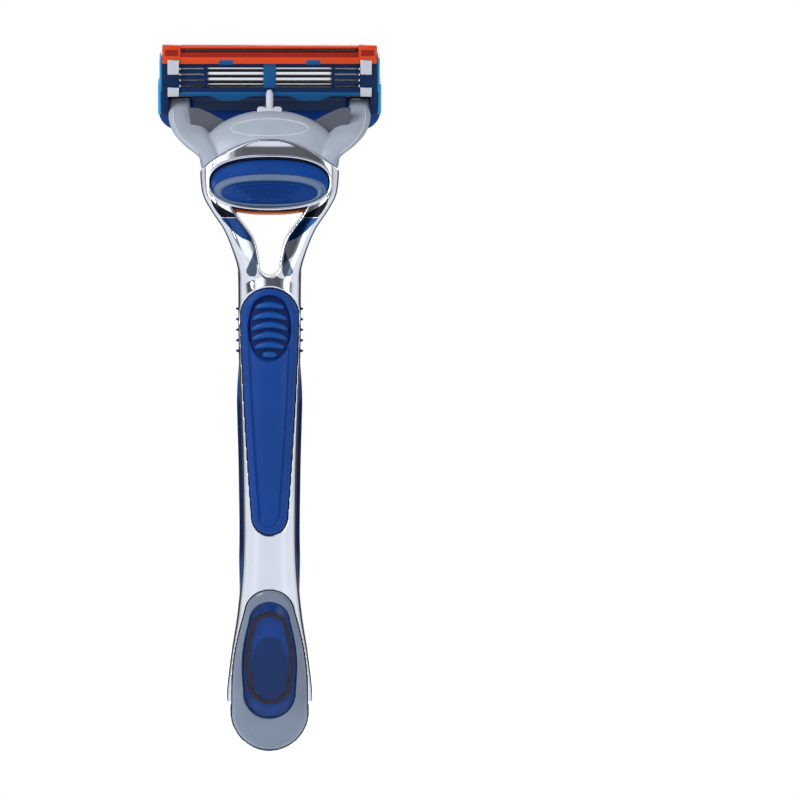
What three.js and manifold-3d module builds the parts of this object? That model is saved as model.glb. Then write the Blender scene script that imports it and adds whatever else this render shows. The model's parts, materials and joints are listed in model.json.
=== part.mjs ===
// Five-blade cartridge razor, upright: +Z towards the head, -Y towards the thumb, +Y towards the blades.
// The origin is the top of the open neck window, where a hook bears. Units are millimetres.
import * as THREE from "three";
import { mergeVertices } from "three/addons/utils/BufferGeometryUtils.js";
import Module from "manifold-3d";

const wasm = await Module();
wasm.setup();

const GAP = 0.05; // clearance between neighbouring fixed pieces
const DEG = Math.PI / 180;

// Handle: sections in horizontal planes, as rows of height, half width, half depth and centre line.
const HANDLE_STATIONS = [
  [-93, 8.3, 4.2, 2.2],
  [-85, 7.5, 4.3, 0.9],
  [-76, 6.15, 4.6, -0.6],
  [-66, 5.3, 4.9, -1.9],
  [-50, 5.3, 5.3, -2.9],
  [-36, 5.65, 5.5, -3.0],
  [-22, 5.95, 5.3, -2.4],
  [-12, 6.0, 4.9, -1.4],
  [-7, 6.2, 4.6, -0.5],
  [0, 6.2, 4.6, 1.6],
  [14, 6.2, 4.6, 6.16],
];
const BUTT_WIDEST = -93;
const BUTT_LENGTH = 11;
const BODY_TOP = -10.4;
const SPLIT = 0.9; // parting face between the plated body and the rear grip, behind the centre line
const AROUND = 20;
const ROWS = 19;

// Head: tilted frame of the ring, the button and the plunger.
const HEAD_TILT = 18 * DEG;
const HEAD_ORIGIN = [0, 1.5, -0.35];
const RING_FRONT = -5.6;
const RING_BACK = 4.6;
const RING_TOP = 13.6;
const RING_SAG = 0.0272; // fall of the ring's top per square millimetre of width
const RING_TWIST = 0.0014;
const BUTTON_HALF = 11.2;
const BUTTON_LOW = 0.5;
const BUTTON_HIGH = 9.9;
const BUTTON_TRAVEL = 2;
const LIP = 1; // thickness of the hood's lip over the button
const NOSE_HALF = 4;
const NOSE_DEPTH = 1.5;
const NOSE_TOP = 16.4;
const STEM_RADIUS = 0.7;
const STEM_Y = -0.4;
const STEM_TIP = 24.6;

// Cartridge: tilted frame through the pivot. Local y is the depth towards the skin, local z is up.
const PIVOT = [0, 13.6, 20.3];
const CARTRIDGE_TILT = 12 * DEG;
const HOUSING_HALF = 20.5;
const BLADE_HALF = 17;
const BLADE_COUNT = 5;
const BLADE_PITCH = 1.13;
const BLADE_TOP = 7.24;
const BLADE_LEAN = 22 * DEG;
const SKIN = 3;
const BACK = -3.5;

const COLOURS = {
  chrome: [0xd9dce0, 0.08, 1],
  blue: [0x1560a8, 0.5, 0],
  darkBlue: [0x16306e, 0.45, 0],
  orange: [0xcc6a26, 0.4, 0],
  grey: [0x98a2ae, 0.4, 0],
  paleGrey: [0xc4ccd2, 0.4, 0],
  steel: [0xb8bcc0, 0.3, 1],
  green: [0x14b89a, 0.4, 0],
  lens: [0x1c4f96, 0.15, 0],
  amber: [0x4a2618, 0.3, 0],
  black: [0x15161a, 0.6, 0],
};

// ---- solids ----

function solid(geometry) {
  const bare = new THREE.BufferGeometry();
  const flat = geometry.index ? geometry.toNonIndexed() : geometry;
  bare.setAttribute("position", flat.getAttribute("position"));
  const merged = mergeVertices(bare, 1e-4);
  const mesh = { numProp: 3, vertProperties: merged.attributes.position.array };
  mesh.triVerts = new Uint32Array(merged.index.array);
  return new wasm.Manifold(new wasm.Mesh(mesh));
}

function join(...solids) {
  return solids.reduce((whole, next) => whole.add(next));
}

function geometryOf(manifold) {
  const mesh = manifold.getMesh();
  const geometry = new THREE.BufferGeometry();
  geometry.setAttribute("position", new THREE.BufferAttribute(new Float32Array(mesh.vertProperties), 3));
  geometry.setIndex(new THREE.BufferAttribute(new Uint32Array(mesh.triVerts), 1));
  geometry.computeVertexNormals();
  return geometry;
}

function piece(name, shape, colour) {
  const geometry = shape.isBufferGeometry ? shape : geometryOf(shape);
  const [color, roughness, metalness] = COLOURS[colour];
  const mesh = new THREE.Mesh(geometry, new THREE.MeshStandardMaterial({ color, roughness, metalness }));
  mesh.name = name;
  return mesh;
}

// A box between two corners.
function block(low, high) {
  const size = high.map((v, i) => v - low[i]);
  return new THREE.BoxGeometry(...size).translate(...high.map((v, i) => (v + low[i]) / 2));
}

// A round bar along an axis: "x" or "z".
function bar(axis, radius, from, to, centre, sides = 20) {
  const geometry = new THREE.CylinderGeometry(radius, radius, to - from, sides);
  geometry.translate(0, (to + from) / 2, 0);
  if (axis === "x") geometry.rotateZ(-Math.PI / 2);
  if (axis === "z") geometry.rotateX(Math.PI / 2);
  return geometry.translate(...centre);
}

// An outline drawn in x and z, made into a prism between two depths.
function prism(shape, front, back, curveSegments = 16, bevel = 0) {
  const options = { depth: back - front - 2 * bevel, curveSegments, bevelEnabled: bevel > 0 };
  Object.assign(options, { bevelThickness: bevel, bevelSize: bevel, bevelOffset: -bevel, bevelSegments: 2 });
  return new THREE.ExtrudeGeometry(shape, options).rotateX(Math.PI / 2).translate(0, back - bevel, 0);
}

// A section drawn in y and z, run along x.
function run(points, from, to) {
  const shape = new THREE.Shape(points.map(([y, z]) => new THREE.Vector2(y, z)));
  const geometry = new THREE.ExtrudeGeometry(shape, { depth: to - from, bevelEnabled: false });
  const turn = new THREE.Matrix4().set(0, 0, 1, from, 1, 0, 0, 0, 0, 1, 0, 0, 0, 0, 0, 1);
  return geometry.applyMatrix4(turn);
}

// An upright capsule whose two ends have radii of their own.
function egg(top, topRadius, bottom, bottomRadius, grow = 0) {
  const high = top - topRadius;
  const low = bottom + bottomRadius;
  const lean = Math.asin((bottomRadius - topRadius) / (high - low));
  const shape = new THREE.Shape();
  shape.absarc(0, high, topRadius + grow, lean, Math.PI - lean, false);
  shape.absarc(0, low, bottomRadius + grow, Math.PI - lean, 2 * Math.PI + lean, false);
  return shape;
}

function oval(centreZ, halfWidth, halfHeight, power = 2.4, points = 28) {
  const corner = (i) => {
    const a = (i / points) * 2 * Math.PI;
    const c = Math.cos(a);
    const s = Math.sin(a);
    const x = halfWidth * Math.sign(c) * Math.abs(c) ** (2 / power);
    return new THREE.Vector2(x, centreZ + halfHeight * Math.sign(s) * Math.abs(s) ** (2 / power));
  };
  return new THREE.Shape(Array.from({ length: points }, (_, i) => corner(i)));
}

function reshape(geometry, move) {
  const position = geometry.attributes.position;
  for (let i = 0; i < position.count; i++) {
    const at = move(position.getX(i), position.getY(i), position.getZ(i));
    position.setXYZ(i, ...at);
  }
  return geometry;
}

// ---- the handle's form ----

const heights = HANDLE_STATIONS.map((row) => row[0]);
const values = HANDLE_STATIONS.flatMap((row) => row.slice(1));
const stations = new THREE.CubicInterpolant(heights, values, 3);

function section(z) {
  const [halfWidth, halfDepth, centre] = stations.evaluate(Math.max(z, BUTT_WIDEST));
  const below = Math.min(Math.max((BUTT_WIDEST - z) / BUTT_LENGTH, 0), 0.995);
  const round = Math.sqrt(1 - below * below);
  const rise = (BUTT_WIDEST - Math.min(z, BUTT_WIDEST)) * 0.17;
  return { w: halfWidth * round, d: halfDepth * (0.35 + 0.65 * round), y: centre + rise };
}

// The handle between two depths, as shares of its section; a flat side has a high power.
function loft({ grow = 0, front = 1, back = 1, frontPower = 2.6, backPower = 2.6, top = BODY_TOP } = {}) {
  const bottom = BUTT_WIDEST - BUTT_LENGTH - grow;
  const tube = new THREE.CylinderGeometry(1, 1, 1, AROUND, ROWS);
  const signed = (v, power) => Math.sign(v) * Math.abs(v) ** (2 / power);
  return reshape(tube, (x, y, z) => {
    const height = bottom + (top - bottom) * (y + 0.5) ** 1.5;
    const at = section(height);
    const radius = Math.hypot(x, z);
    if (radius < 0.5) return [0, at.y, height];
    const power = z > 0 ? frontPower : backPower;
    const depth = z > 0 ? -(at.d * front + (front === 1 ? grow : 0)) : back === 1 ? at.d + grow : back;
    const side = (at.w + grow) * signed(x, power);
    return [side, at.y + Math.abs(signed(z, power)) * depth, height];
  });
}

const headMatrix = new THREE.Matrix4()
  .makeTranslation(...HEAD_ORIGIN)
  .multiply(new THREE.Matrix4().makeRotationX(-HEAD_TILT));

function inHead(geometry) {
  return geometry.applyMatrix4(headMatrix);
}

function ringTop(x, y) {
  return RING_TOP - (RING_SAG - RING_TWIST * y) * x * x;
}

// Everything above or below the joint between the ring and the yoke, in the head's frame.
function besideJoint(above, offset) {
  const geometry = new THREE.BoxGeometry(52, 120, 2, 26, 12, 1);
  const surface = reshape(geometry, (x, y, z) => {
    const height = ringTop(x, Math.min(Math.max(y, -9), 9)) + offset;
    return [x, y, z > 0 ? height : -140];
  });
  const below = solid(inHead(surface));
  return above ? solid(inHead(block([-25, -25, -20], [25, 25, 40]))).subtract(below) : below;
}

// ---- handle pieces ----

const FAR = 30;
const INLAY = [-13.7, 5.5, -60.3, 3.2];
const PAD = [-15.1, 3.9, -27.2, 2.6];
const BEZEL = [-71.1, 3.2, -102.2, 7.3];
const LENS = [-73.3, 3.6, -96.3, 5.4];
const AMBER = [-75.4, 3.2, -93.5, 4.5];
const GRIP = [-20.1, 6.4, -102.2, 8.3];
const ISLAND = [-74, 2.9, -96.7, 4.5];
const INLAY_DEPTH = 1;
const INLAY_LIMIT = -4.1; // how far round the sides the inlay and the badge reach
const BADGE_LIMIT = 1.4;
const BEZEL_DEPTH = 1.4;
const LENS_FLOOR = 1.9;
const RING_WIDTH = 0.8;
const CARRIER_THICK = 1;
const NUB_COUNT = 5;
const NUB_PITCH = 2;
const NUB_TOP = -17.7;

// The layer of the handle's front between two depths below its surface, inside an outline.
function frontLayer(outline, limit, from, to) {
  const sheet = solid(loft({ grow: -from })).subtract(solid(loft({ grow: -to })));
  return solid(prism(outline, -FAR, limit)).intersect(sheet);
}

function frontPocket(outline, limit, depth) {
  return solid(prism(outline, -FAR, limit + GAP)).subtract(solid(loft({ grow: -depth })));
}

// Everything behind the parting face, inside the grip's outline.
function behindSplit(offset, shrink) {
  const front = solid(loft({ grow: 4, back: SPLIT + offset, backPower: 14, top: 0 }));
  return solid(prism(egg(...GRIP, -shrink), -8, FAR)).subtract(front);
}

function forkOutline() {
  const side = [
    [5.6, -16],
    [5.95, -10.5],
    [6.9, -7.2],
    [8.8, -2.7],
    [10.9, 0.4],
    [12.6, 3.4],
    [13.15, 6.5],
    [13.2, 10],
    [13.2, 17],
  ];
  const curve = new THREE.SplineCurve(side.map(([x, z]) => new THREE.Vector2(x, z)));
  const right = curve.getPoints(20);
  const left = right.map((p) => new THREE.Vector2(-p.x, p.y)).reverse();
  return new THREE.Shape([...right, ...left]);
}

function windowOutline() {
  const side = [
    [7.2, 2],
    [6.2, 0],
    [3.0, -4.4],
    [2.05, -8],
    [1.9, -9.6],
  ];
  const curve = new THREE.SplineCurve(side.map(([x, z]) => new THREE.Vector2(x, z)));
  const right = curve.getPoints(12);
  const left = right.map((p) => new THREE.Vector2(-p.x, p.y)).reverse();
  const shape = new THREE.Shape(right);
  shape.absarc(0, -9.6, 1.9, 0, Math.PI, true);
  left.forEach((p) => shape.lineTo(p.x, p.y));
  return shape;
}

function followCentre(geometry) {
  return reshape(geometry, (x, y, z) => [x, y + section(z).y, z]);
}

const cavity = () => join(
  solid(inHead(prism(oval(6.15, 11.6, 6.05, 2.8), RING_FRONT + LIP, 1.6))),
  solid(inHead(prism(oval(5.2, 11.45, 5.0), -9, RING_FRONT + LIP + 0.1))),
  solid(inHead(prism(oval(5.0, 10.5, 4.8), 1.5, 9))),
);

function nubPlace(side) {
  const middle = section(NUB_TOP - 4).y;
  const low = side > 0 ? 5.0 : -9;
  return [[low, middle - 1.6, -27], [low + 4, middle + 0.1, -16.4]];
}

function chromeFrame() {
  const body = solid(loft()).subtract(behindSplit(0, 0));
  const fork = solid(followCentre(prism(forkOutline(), RING_FRONT + 0.4, RING_BACK, 12, 1.1)));
  const below = besideJoint(false, 0);
  const cuts = [
    cavity(),
    solid(prism(windowOutline(), -FAR, FAR)),
    solid(inHead(block([-7, -NOSE_DEPTH - GAP, 10], [7, NOSE_DEPTH + GAP, 18]))),
    frontPocket(egg(...INLAY, GAP), INLAY_LIMIT, INLAY_DEPTH + GAP),
    frontPocket(egg(...BEZEL, GAP), BADGE_LIMIT, BEZEL_DEPTH + GAP),
    frontPocket(egg(...LENS, GAP), BADGE_LIMIT, LENS_FLOOR + GAP),
    solid(block([-2.65, -5.05, -64], [2.65, 2, -28])),
    solid(block(...nubPlace(1))),
    solid(block(...nubPlace(-1))),
  ];
  return join(body, fork).intersect(below).subtract(join(...cuts));
}

function rearCarrier() {
  const plate = solid(loft({ grow: -1.3 }))
    .intersect(behindSplit(GAP, 2.4))
    .intersect(solid(loft({ grow: 4, back: SPLIT + CARRIER_THICK, backPower: 14, top: 0 })));
  const island = solid(prism(egg(...ISLAND, -GAP), -8, FAR))
    .intersect(solid(loft({ grow: -0.1 })))
    .intersect(behindSplit(GAP, 2.4));
  return join(plate, island);
}

function rearGrip() {
  const shell = solid(loft({ grow: 0.2 })).intersect(behindSplit(GAP, GAP));
  const under = solid(loft({ grow: -1.3 + GAP }))
    .intersect(behindSplit(0, 2.3))
    .intersect(solid(loft({ grow: 4, back: SPLIT + CARRIER_THICK + GAP, backPower: 14, top: 0 })));
  return shell.subtract(join(under, solid(prism(egg(...ISLAND), -8, FAR))));
}

function thumbInlay() {
  const whole = frontLayer(egg(...INLAY), INLAY_LIMIT, -0.3, INLAY_DEPTH);
  const recess = solid(prism(egg(...PAD), -FAR, INLAY_LIMIT)).subtract(solid(loft({ grow: -0.4 })));
  return whole.subtract(recess);
}

function thumbPad() {
  const sheet = frontLayer(egg(...PAD, -GAP), INLAY_LIMIT, 0.1, 0.4 - GAP);
  const ridges = Array.from({ length: 6 }, (_, i) => {
    const z = -17.2 - i * 1.72;
    const at = section(z);
    const reach = 3.0 - Math.abs(z + 19.4) * 0.12;
    return solid(bar("x", 0.32, -reach, reach, [0, at.y - at.d, z], 8));
  });
  return join(sheet, ...ridges).subtract(solid(loft({ grow: -0.4 + GAP })));
}

function nubStrip(side) {
  const [low, high] = nubPlace(side);
  const inner = block([low[0] + (side > 0 ? GAP : 0), low[1] + GAP, low[2] + GAP],
    [high[0] - (side > 0 ? 0 : GAP), high[1] - GAP, high[2] - GAP]);
  const strip = solid(inner).intersect(solid(loft({ grow: -0.1 })));
  const nubs = Array.from({ length: NUB_COUNT }, (_, i) => {
    const z = NUB_TOP - i * NUB_PITCH;
    const [from, to] = side > 0 ? [5.3, 6.7] : [-6.7, -5.3];
    return solid(bar("x", 0.6, from, to, [0, low[1] + 0.95, z], 10));
  });
  return join(strip, ...nubs);
}

function pierced(layer, outline) {
  return layer.subtract(solid(prism(outline, -FAR, FAR)));
}

const badge = {
  bezel: () => pierced(frontLayer(egg(...BEZEL), BADGE_LIMIT, -0.2, BEZEL_DEPTH), egg(...LENS)),
  backing: () => frontLayer(egg(...LENS, -0.5), BADGE_LIMIT - 1, LENS_FLOOR - 0.45, LENS_FLOOR),
  ring: () => pierced(frontLayer(egg(...AMBER), BADGE_LIMIT, 0.75, BEZEL_DEPTH), egg(...AMBER, -RING_WIDTH)),
  lens: () => frontLayer(egg(...LENS, -GAP), BADGE_LIMIT, -0.3, 0.65),
};

function coreWeight() {
  return block([-2.6, -5, -63.9], [2.6, -2.7, -28.1]);
}

function dockingNose() {
  const nose = block([-NOSE_HALF, -NOSE_DEPTH, 8.4], [NOSE_HALF, NOSE_DEPTH, NOSE_TOP]);
  const bore = bar("z", 1.3, 9, NOSE_TOP - 0.6, [0, STEM_Y + 0.4, 0], 16);
  const guide = bar("z", STEM_RADIUS + 0.08, NOSE_TOP - 1, NOSE_TOP + 1, [0, STEM_Y, 0], 16);
  return solid(inHead(nose)).subtract(join(solid(inHead(bore)), solid(inHead(guide))));
}

function plunger() {
  const stem = bar("z", STEM_RADIUS, 13.6, STEM_TIP, [0, STEM_Y, 0], 16);
  const foot = bar("z", 1.15, 13.4, 14.2, [0, STEM_Y + 0.4, 0], 16);
  return join(solid(inHead(stem)), solid(inHead(foot)));
}

// A round-wire compression spring along the head's axis.
function coil(radius, wire, turns, low, high, y) {
  class Helix extends THREE.Curve {
    getPoint(t, target = new THREE.Vector3()) {
      const a = t * turns * 2 * Math.PI;
      return target.set(radius * Math.cos(a), y + radius * Math.sin(a), low + (high - low) * t);
    }
  }
  const outline = new THREE.Shape();
  outline.absarc(0, 0, wire, 0, 2 * Math.PI, false);
  const options = { steps: Math.round(turns * 8), extrudePath: new Helix(), curveSegments: 3 };
  return new THREE.ExtrudeGeometry(outline, { ...options, bevelEnabled: false });
}

// ---- release button ----

function releaseButton() {
  const plate = prism(oval((BUTTON_LOW + BUTTON_HIGH) / 2, BUTTON_HALF, 4.7), RING_FRONT + LIP + GAP, -1.6);
  const face = prism(oval(3.9, 9.8, 3.2), RING_FRONT - 0.4, -3, 16, 0.5);
  const centre = solid(prism(oval(3.8, 9.2, 2.6), -9, 0));
  const groove = solid(prism(oval(4.1, 10.2, 3.5), -9, -4.0)).subtract(centre);
  return join(solid(plate), solid(face)).subtract(groove);
}

function buttonTrim() {
  const outer = solid(prism(oval(4.1, 10.15, 3.45), RING_FRONT + 0.1, -4.05));
  return outer.subtract(solid(prism(oval(3.8, 9.25, 2.65), -9, 0)));
}

function ejectorSlide() {
  const base = solid(block([-6.6, -1.55, 1.6], [6.6, 0.4, 4.4]));
  const prong = (side) => {
    const [low, high] = side > 0 ? [4.3, 6.4] : [-6.4, -4.3];
    return solid(block([low, -1.4, 3], [high, 0.4, 10.2]));
  };
  return join(base, prong(1), prong(-1));
}

// ---- yoke ----

const EYE_RADIUS = 1.25;
const PIN_RADIUS = 1;
const ARM_INNER = 15.2;
const ARM_OUTER = 19;
const PIN_TIP = 20;
const DOME = [13.3, 5.5, 9.2];
const DOME_Z = 11.5;
const GUIDE_LOW = 19.1;
const GUIDE_HIGH = 20.9;

function armLower(side) {
  const outer = [
    [12.9, 7],
    [13.3, 10.6],
    [15.4, 12.6],
    [17.9, 15.4],
    [19, 18.2],
  ];
  const inner = [
    [15.2, 18.2],
    [13.6, 16.2],
    [11, 14.6],
    [9, 12],
    [9, 7],
  ];
  const shape = new THREE.Shape([...outer, ...inner].map(([x, z]) => new THREE.Vector2(x * side, z)));
  return reshape(prism(shape, -1, 1), (x, y, z) => {
    const forward = Math.max(z - 12, 0) / (PIVOT[2] - 12);
    const half = 4.2 - 2.5 * Math.min(forward * 1.3, 1);
    const centre = section(Math.min(z, 12)).y - 0.5 + forward * (PIVOT[1] - section(12).y);
    return [x, centre + y * half, z];
  });
}

function armUpper(side) {
  const [py, pz] = [PIVOT[1], PIVOT[2]];
  const [low, high] = side > 0 ? [ARM_INNER, ARM_OUTER] : [-ARM_OUTER, -ARM_INNER];
  const corners = [[0.1, -1.2], [-1.1, 0.6], [-4.1, -1.9], [-1.7, -3.8]];
  const link = run(corners.map(([y, z]) => [py + y, pz + z]), low, high);
  const eye = bar("x", EYE_RADIUS, low, high, [0, py, pz], 18);
  const [from, to] = side > 0 ? [ARM_INNER, PIN_TIP] : [-PIN_TIP, -ARM_INNER];
  return join(solid(link), solid(eye), solid(bar("x", PIN_RADIUS, from, to, [0, py, pz], 18)));
}

function yoke() {
  const dome = inHead(new THREE.SphereGeometry(1, 26, 16).scale(...DOME).translate(0, 0, DOME_Z));
  const [noseX, noseY] = [NOSE_HALF + 0.15, NOSE_DEPTH + 0.15];
  const socket = block([-noseX, -noseY, 6], [noseX, noseY, NOSE_TOP + 0.3]);
  const seat = block([-2.5, STEM_Y - 1.35, GUIDE_LOW], [2.5, STEM_Y + 1.35, 30]);
  const passage = bar("z", STEM_RADIUS + 0.12, 10, 30, [0, STEM_Y, 0], 16);
  const cuts = [socket, seat, passage].map((g) => solid(inHead(g)));
  const arms = [1, -1].map((side) => join(solid(armLower(side)), armUpper(side)));
  const above = besideJoint(true, GAP);
  return join(solid(dome), ...arms).intersect(above).subtract(join(...cuts));
}

function plungerGuide() {
  const collar = block([-2.45, STEM_Y - 1.3, GUIDE_LOW + GAP], [2.45, STEM_Y + 1.3, GUIDE_HIGH]);
  const passage = bar("z", STEM_RADIUS + 0.08, 10, 30, [0, STEM_Y, 0], 16);
  return solid(inHead(collar)).subtract(solid(inHead(passage)));
}

// ---- cartridge, in its own tilted frame ----

const TOP = 12.6;
const NOTCH_TOP = 3.6; // ceiling of the notch that presses the plunger
const WINDOW_LOW = 2.6;
const LEG_LOW = 2.75;
const LEG_HIGH = 9.1;
const STRAP = [17.25, 19.45];
const STRAP_THICK = 0.3;
const FIN_COUNT = 6;
const FIN_PITCH = 0.7;

function housing() {
  const ends = [1, -1].map((side) => {
    const x = (a, b) => (side > 0 ? [a, b] : [-b, -a]);
    const [blockLow, blockHigh] = x(BLADE_HALF + 0.15, HOUSING_HALF);
    const [wallLow, wallHigh] = x(ARM_OUTER + 0.15, HOUSING_HALF);
    const upper = block([blockLow, BACK, WINDOW_LOW], [blockHigh, 2.6, 9.4]);
    const wall = block([wallLow, BACK, -1.2], [wallHigh, 1.5, WINDOW_LOW + 0.5]);
    return join(solid(upper), solid(wall));
  });
  const barHalf = HOUSING_HALF - 0.5;
  const topBar = run([[2.2, 7.8], [2.2, 9.7], [0.8, 9.7], [-2.7, 10.6], [-2.7, 7.8]], -barHalf, barHalf);
  const backBar = block([-17.4, BACK, WINDOW_LOW], [17.4, -2.7, 4]);
  const platform = run([[BACK, 1.9], [BACK, 4], [-2.7, 4], [-2.7, 1.85], [2.6, 1.85], [2.6, 1.2], [1.5, 1.2],
    [1.5, -1.1], [-0.4, -1.1], [-1.2, 1.0]], -14.6, 14.6);
  const ledge = block([-19.9, 1.5, 1.2], [19.9, 2.6, 1.85]);
  const rib = block([-1.2, -3.4, 4], [1.2, -2.7, 8.5]);
  const joinEnds = [1, -1].map((side) => {
    const [low, high] = side > 0 ? [19.2, 19.9] : [-19.9, -19.2];
    return solid(block([low, 0, 1.2], [high, 2.6, 3.2]));
  });
  const bars = [topBar, backBar, platform, ledge, rib].map(solid);
  const whole = join(...ends, ...bars, ...joinEnds);
  const notch = solid(block([-1.1, -4, -2], [1.1, -2.3, NOTCH_TOP]));
  const pins = solid(bar("x", PIN_RADIUS + 0.08, -PIN_TIP - 0.1, PIN_TIP + 0.1, [0, 0, 0], 18));
  const slots = [1, -1].map((side) => {
    const [low, high] = side > 0 ? [STRAP[0] - GAP, STRAP[1] + GAP] : [-STRAP[1] - GAP, -STRAP[0] + GAP];
    const slot = (z) => solid(block([low, -5, z - GAP], [high, 4, z + STRAP_THICK + GAP]));
    return join(slot(LEG_LOW), slot(LEG_HIGH));
  });
  return whole.subtract(join(notch, pins, ...slots));
}

function skirt() {
  const half = 21.3;
  const shape = new THREE.Shape();
  shape.moveTo(half, 10.5);
  shape.lineTo(half - 0.65, 10.5);
  shape.lineTo(half - 0.65, -1.3);
  shape.lineTo(-half + 0.65, -1.3);
  shape.lineTo(-half + 0.65, 10.5);
  shape.lineTo(-half, 10.5);
  shape.lineTo(-half, -2.4);
  shape.absarc(-half + 3.6, -2.4, 3.6, Math.PI, 1.5 * Math.PI, false);
  shape.absarc(half - 3.6, -2.4, 3.6, 1.5 * Math.PI, 2 * Math.PI, false);
  return prism(shape, 0.5, 1.5, 6);
}

function guardFins() {
  const shape = new THREE.Shape();
  shape.moveTo(19.8, 1.1);
  shape.lineTo(-19.8, 1.1);
  shape.absarc(-17, -1.1, 2.8, Math.PI, 1.5 * Math.PI, false);
  shape.absarc(17, -1.1, 2.8, 1.5 * Math.PI, 2 * Math.PI, false);
  const plate = solid(prism(shape, 1.6, 2.5, 6));
  const fin = (z) => solid(block([-17.5, 2.4, z], [17.5, SKIN, z + 0.3]));
  return join(plate, ...Array.from({ length: FIN_COUNT }, (_, i) => fin(-3.2 + i * FIN_PITCH)));
}

function clip(side) {
  const [low, high] = side > 0 ? STRAP : [-STRAP[1], -STRAP[0]];
  const strap = block([low, SKIN - 0.3, 1.2], [high, SKIN, LEG_HIGH + STRAP_THICK]);
  const leg = (z) => solid(block([low, BACK - 0.35, z], [high, SKIN - 0.1, z + STRAP_THICK]));
  const tab = (from, to) => solid(block([low, BACK - 0.35, from], [high, BACK - 0.06, to]));
  return join(solid(strap), leg(LEG_LOW), leg(LEG_HIGH), tab(2.4, 4.3), tab(6.9, LEG_HIGH + STRAP_THICK));
}

function trimmerHousing() {
  const hood = [[2.4, 9.85], [2.4, 10.6], [-2.6, TOP + 0.2], [-3.9, TOP], [-3.9, 9.5], [-2.8, 9.5],
    [-2.8, 10.75], [0.9, 9.85]];
  const slot = block([-17, -5, 11.6], [17, -2.9, 12.1]);
  const corners = [1, -1].map((side) => {
    const [low, high] = side > 0 ? [16.6, 19.8] : [-19.8, -16.6];
    return solid(block([low, 2.3, 9.5], [high, 2.6, 10.3]));
  });
  return join(solid(run(hood, -19.8, 19.8)), ...corners).subtract(solid(slot));
}

function trimmerBlade() {
  return solid(block([-16.9, -4.15, 11.75], [16.9, -2.95, 11.95]));
}

function bladeHeight(i) {
  return BLADE_TOP - i * BLADE_PITCH;
}

function blade(i) {
  const plate = new THREE.BoxGeometry(2 * BLADE_HALF, 1.25, 0.12);
  return plate.rotateX(BLADE_LEAN).translate(0, SKIN - 0.65, bladeHeight(i));
}

function bladeSupport(i) {
  const z = bladeHeight(i);
  const foot = [SKIN - 1.45, z - 0.5];
  const tip = [SKIN - 0.4, z - 0.5 + 1.05 * Math.tan(BLADE_LEAN)];
  const under = [[-2.2, z - 0.7], [foot[0] + 0.05, foot[1] - 0.2], [tip[0], tip[1] - 0.2]];
  return run([...under, tip, foot, [-2.2, z - 0.5]], -BLADE_HALF + 0.1, BLADE_HALF - 0.1);
}

// ---- the assembly ----

const razor = new THREE.Group();

razor.add(
  piece("chrome_frame", chromeFrame(), "chrome"),
  piece("core_weight", coreWeight(), "steel"),
  piece("rear_carrier", rearCarrier(), "grey"),
  piece("rear_grip", rearGrip(), "blue"),
  piece("thumb_inlay", thumbInlay(), "blue"),
  piece("thumb_pad", thumbPad(), "blue"),
  piece("side_nubs_right", nubStrip(1), "blue"),
  piece("side_nubs_left", nubStrip(-1), "blue"),
  piece("badge_bezel", badge.bezel(), "grey"),
  piece("badge_backing", badge.backing(), "black"),
  piece("badge_ring", badge.ring(), "amber"),
  piece("badge_lens", badge.lens(), "lens"),
  piece("docking_nose", dockingNose(), "blue"),
  piece("plunger", plunger(), "paleGrey"),
  piece("yoke", yoke(), "grey"),
  piece("plunger_guide", plungerGuide(), "paleGrey"),
);

const head = new THREE.Group();
head.applyMatrix4(headMatrix);
head.add(
  piece("rear_plug", prism(oval(5, 10.4, 4.7), 1.7, 4.2, 16, 0.4), "orange"),
  piece("release_button", releaseButton(), "blue"),
  piece("button_trim", buttonTrim(), "grey"),
  piece("ejector_slide", ejectorSlide(), "orange"),
  piece("ejector_spring", coil(1.15, 0.18, 4, 4.7, 8.1, -0.15), "steel"),
  piece("plunger_spring", coil(0.95, 0.14, 6, 9.2, 13.2, STEM_Y + 0.4), "steel"),
);
razor.add(head);

const cartridge = new THREE.Group();
cartridge.position.set(...PIVOT);
cartridge.rotation.x = CARTRIDGE_TILT;
cartridge.add(
  piece("cartridge_housing", housing(), "darkBlue"),
  piece("skirt", skirt(), "blue"),
  piece("guard_fins", guardFins(), "darkBlue"),
  piece("clip_right", clip(1), "steel"),
  piece("clip_left", clip(-1), "steel"),
  piece("trimmer_housing", trimmerHousing(), "orange"),
  piece("trimmer_blade", trimmerBlade(), "steel"),
  piece("lube_strip", block([-16.3, 2.25, 7.95], [16.3, SKIN + 0.2, 9.8]), "green"),
);
for (let i = 0; i < BLADE_COUNT; i++) {
  cartridge.add(
    piece(`blade_${i + 1}`, blade(i), "steel"),
    piece(`blade_support_${i + 1}`, bladeSupport(i), "steel"),
  );
}
razor.add(cartridge);

export default razor;
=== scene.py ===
"""Cartridge razor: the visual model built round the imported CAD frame. Shapes are worked out in
millimetres in the row frame and turned into metres when a mesh is made."""

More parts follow.
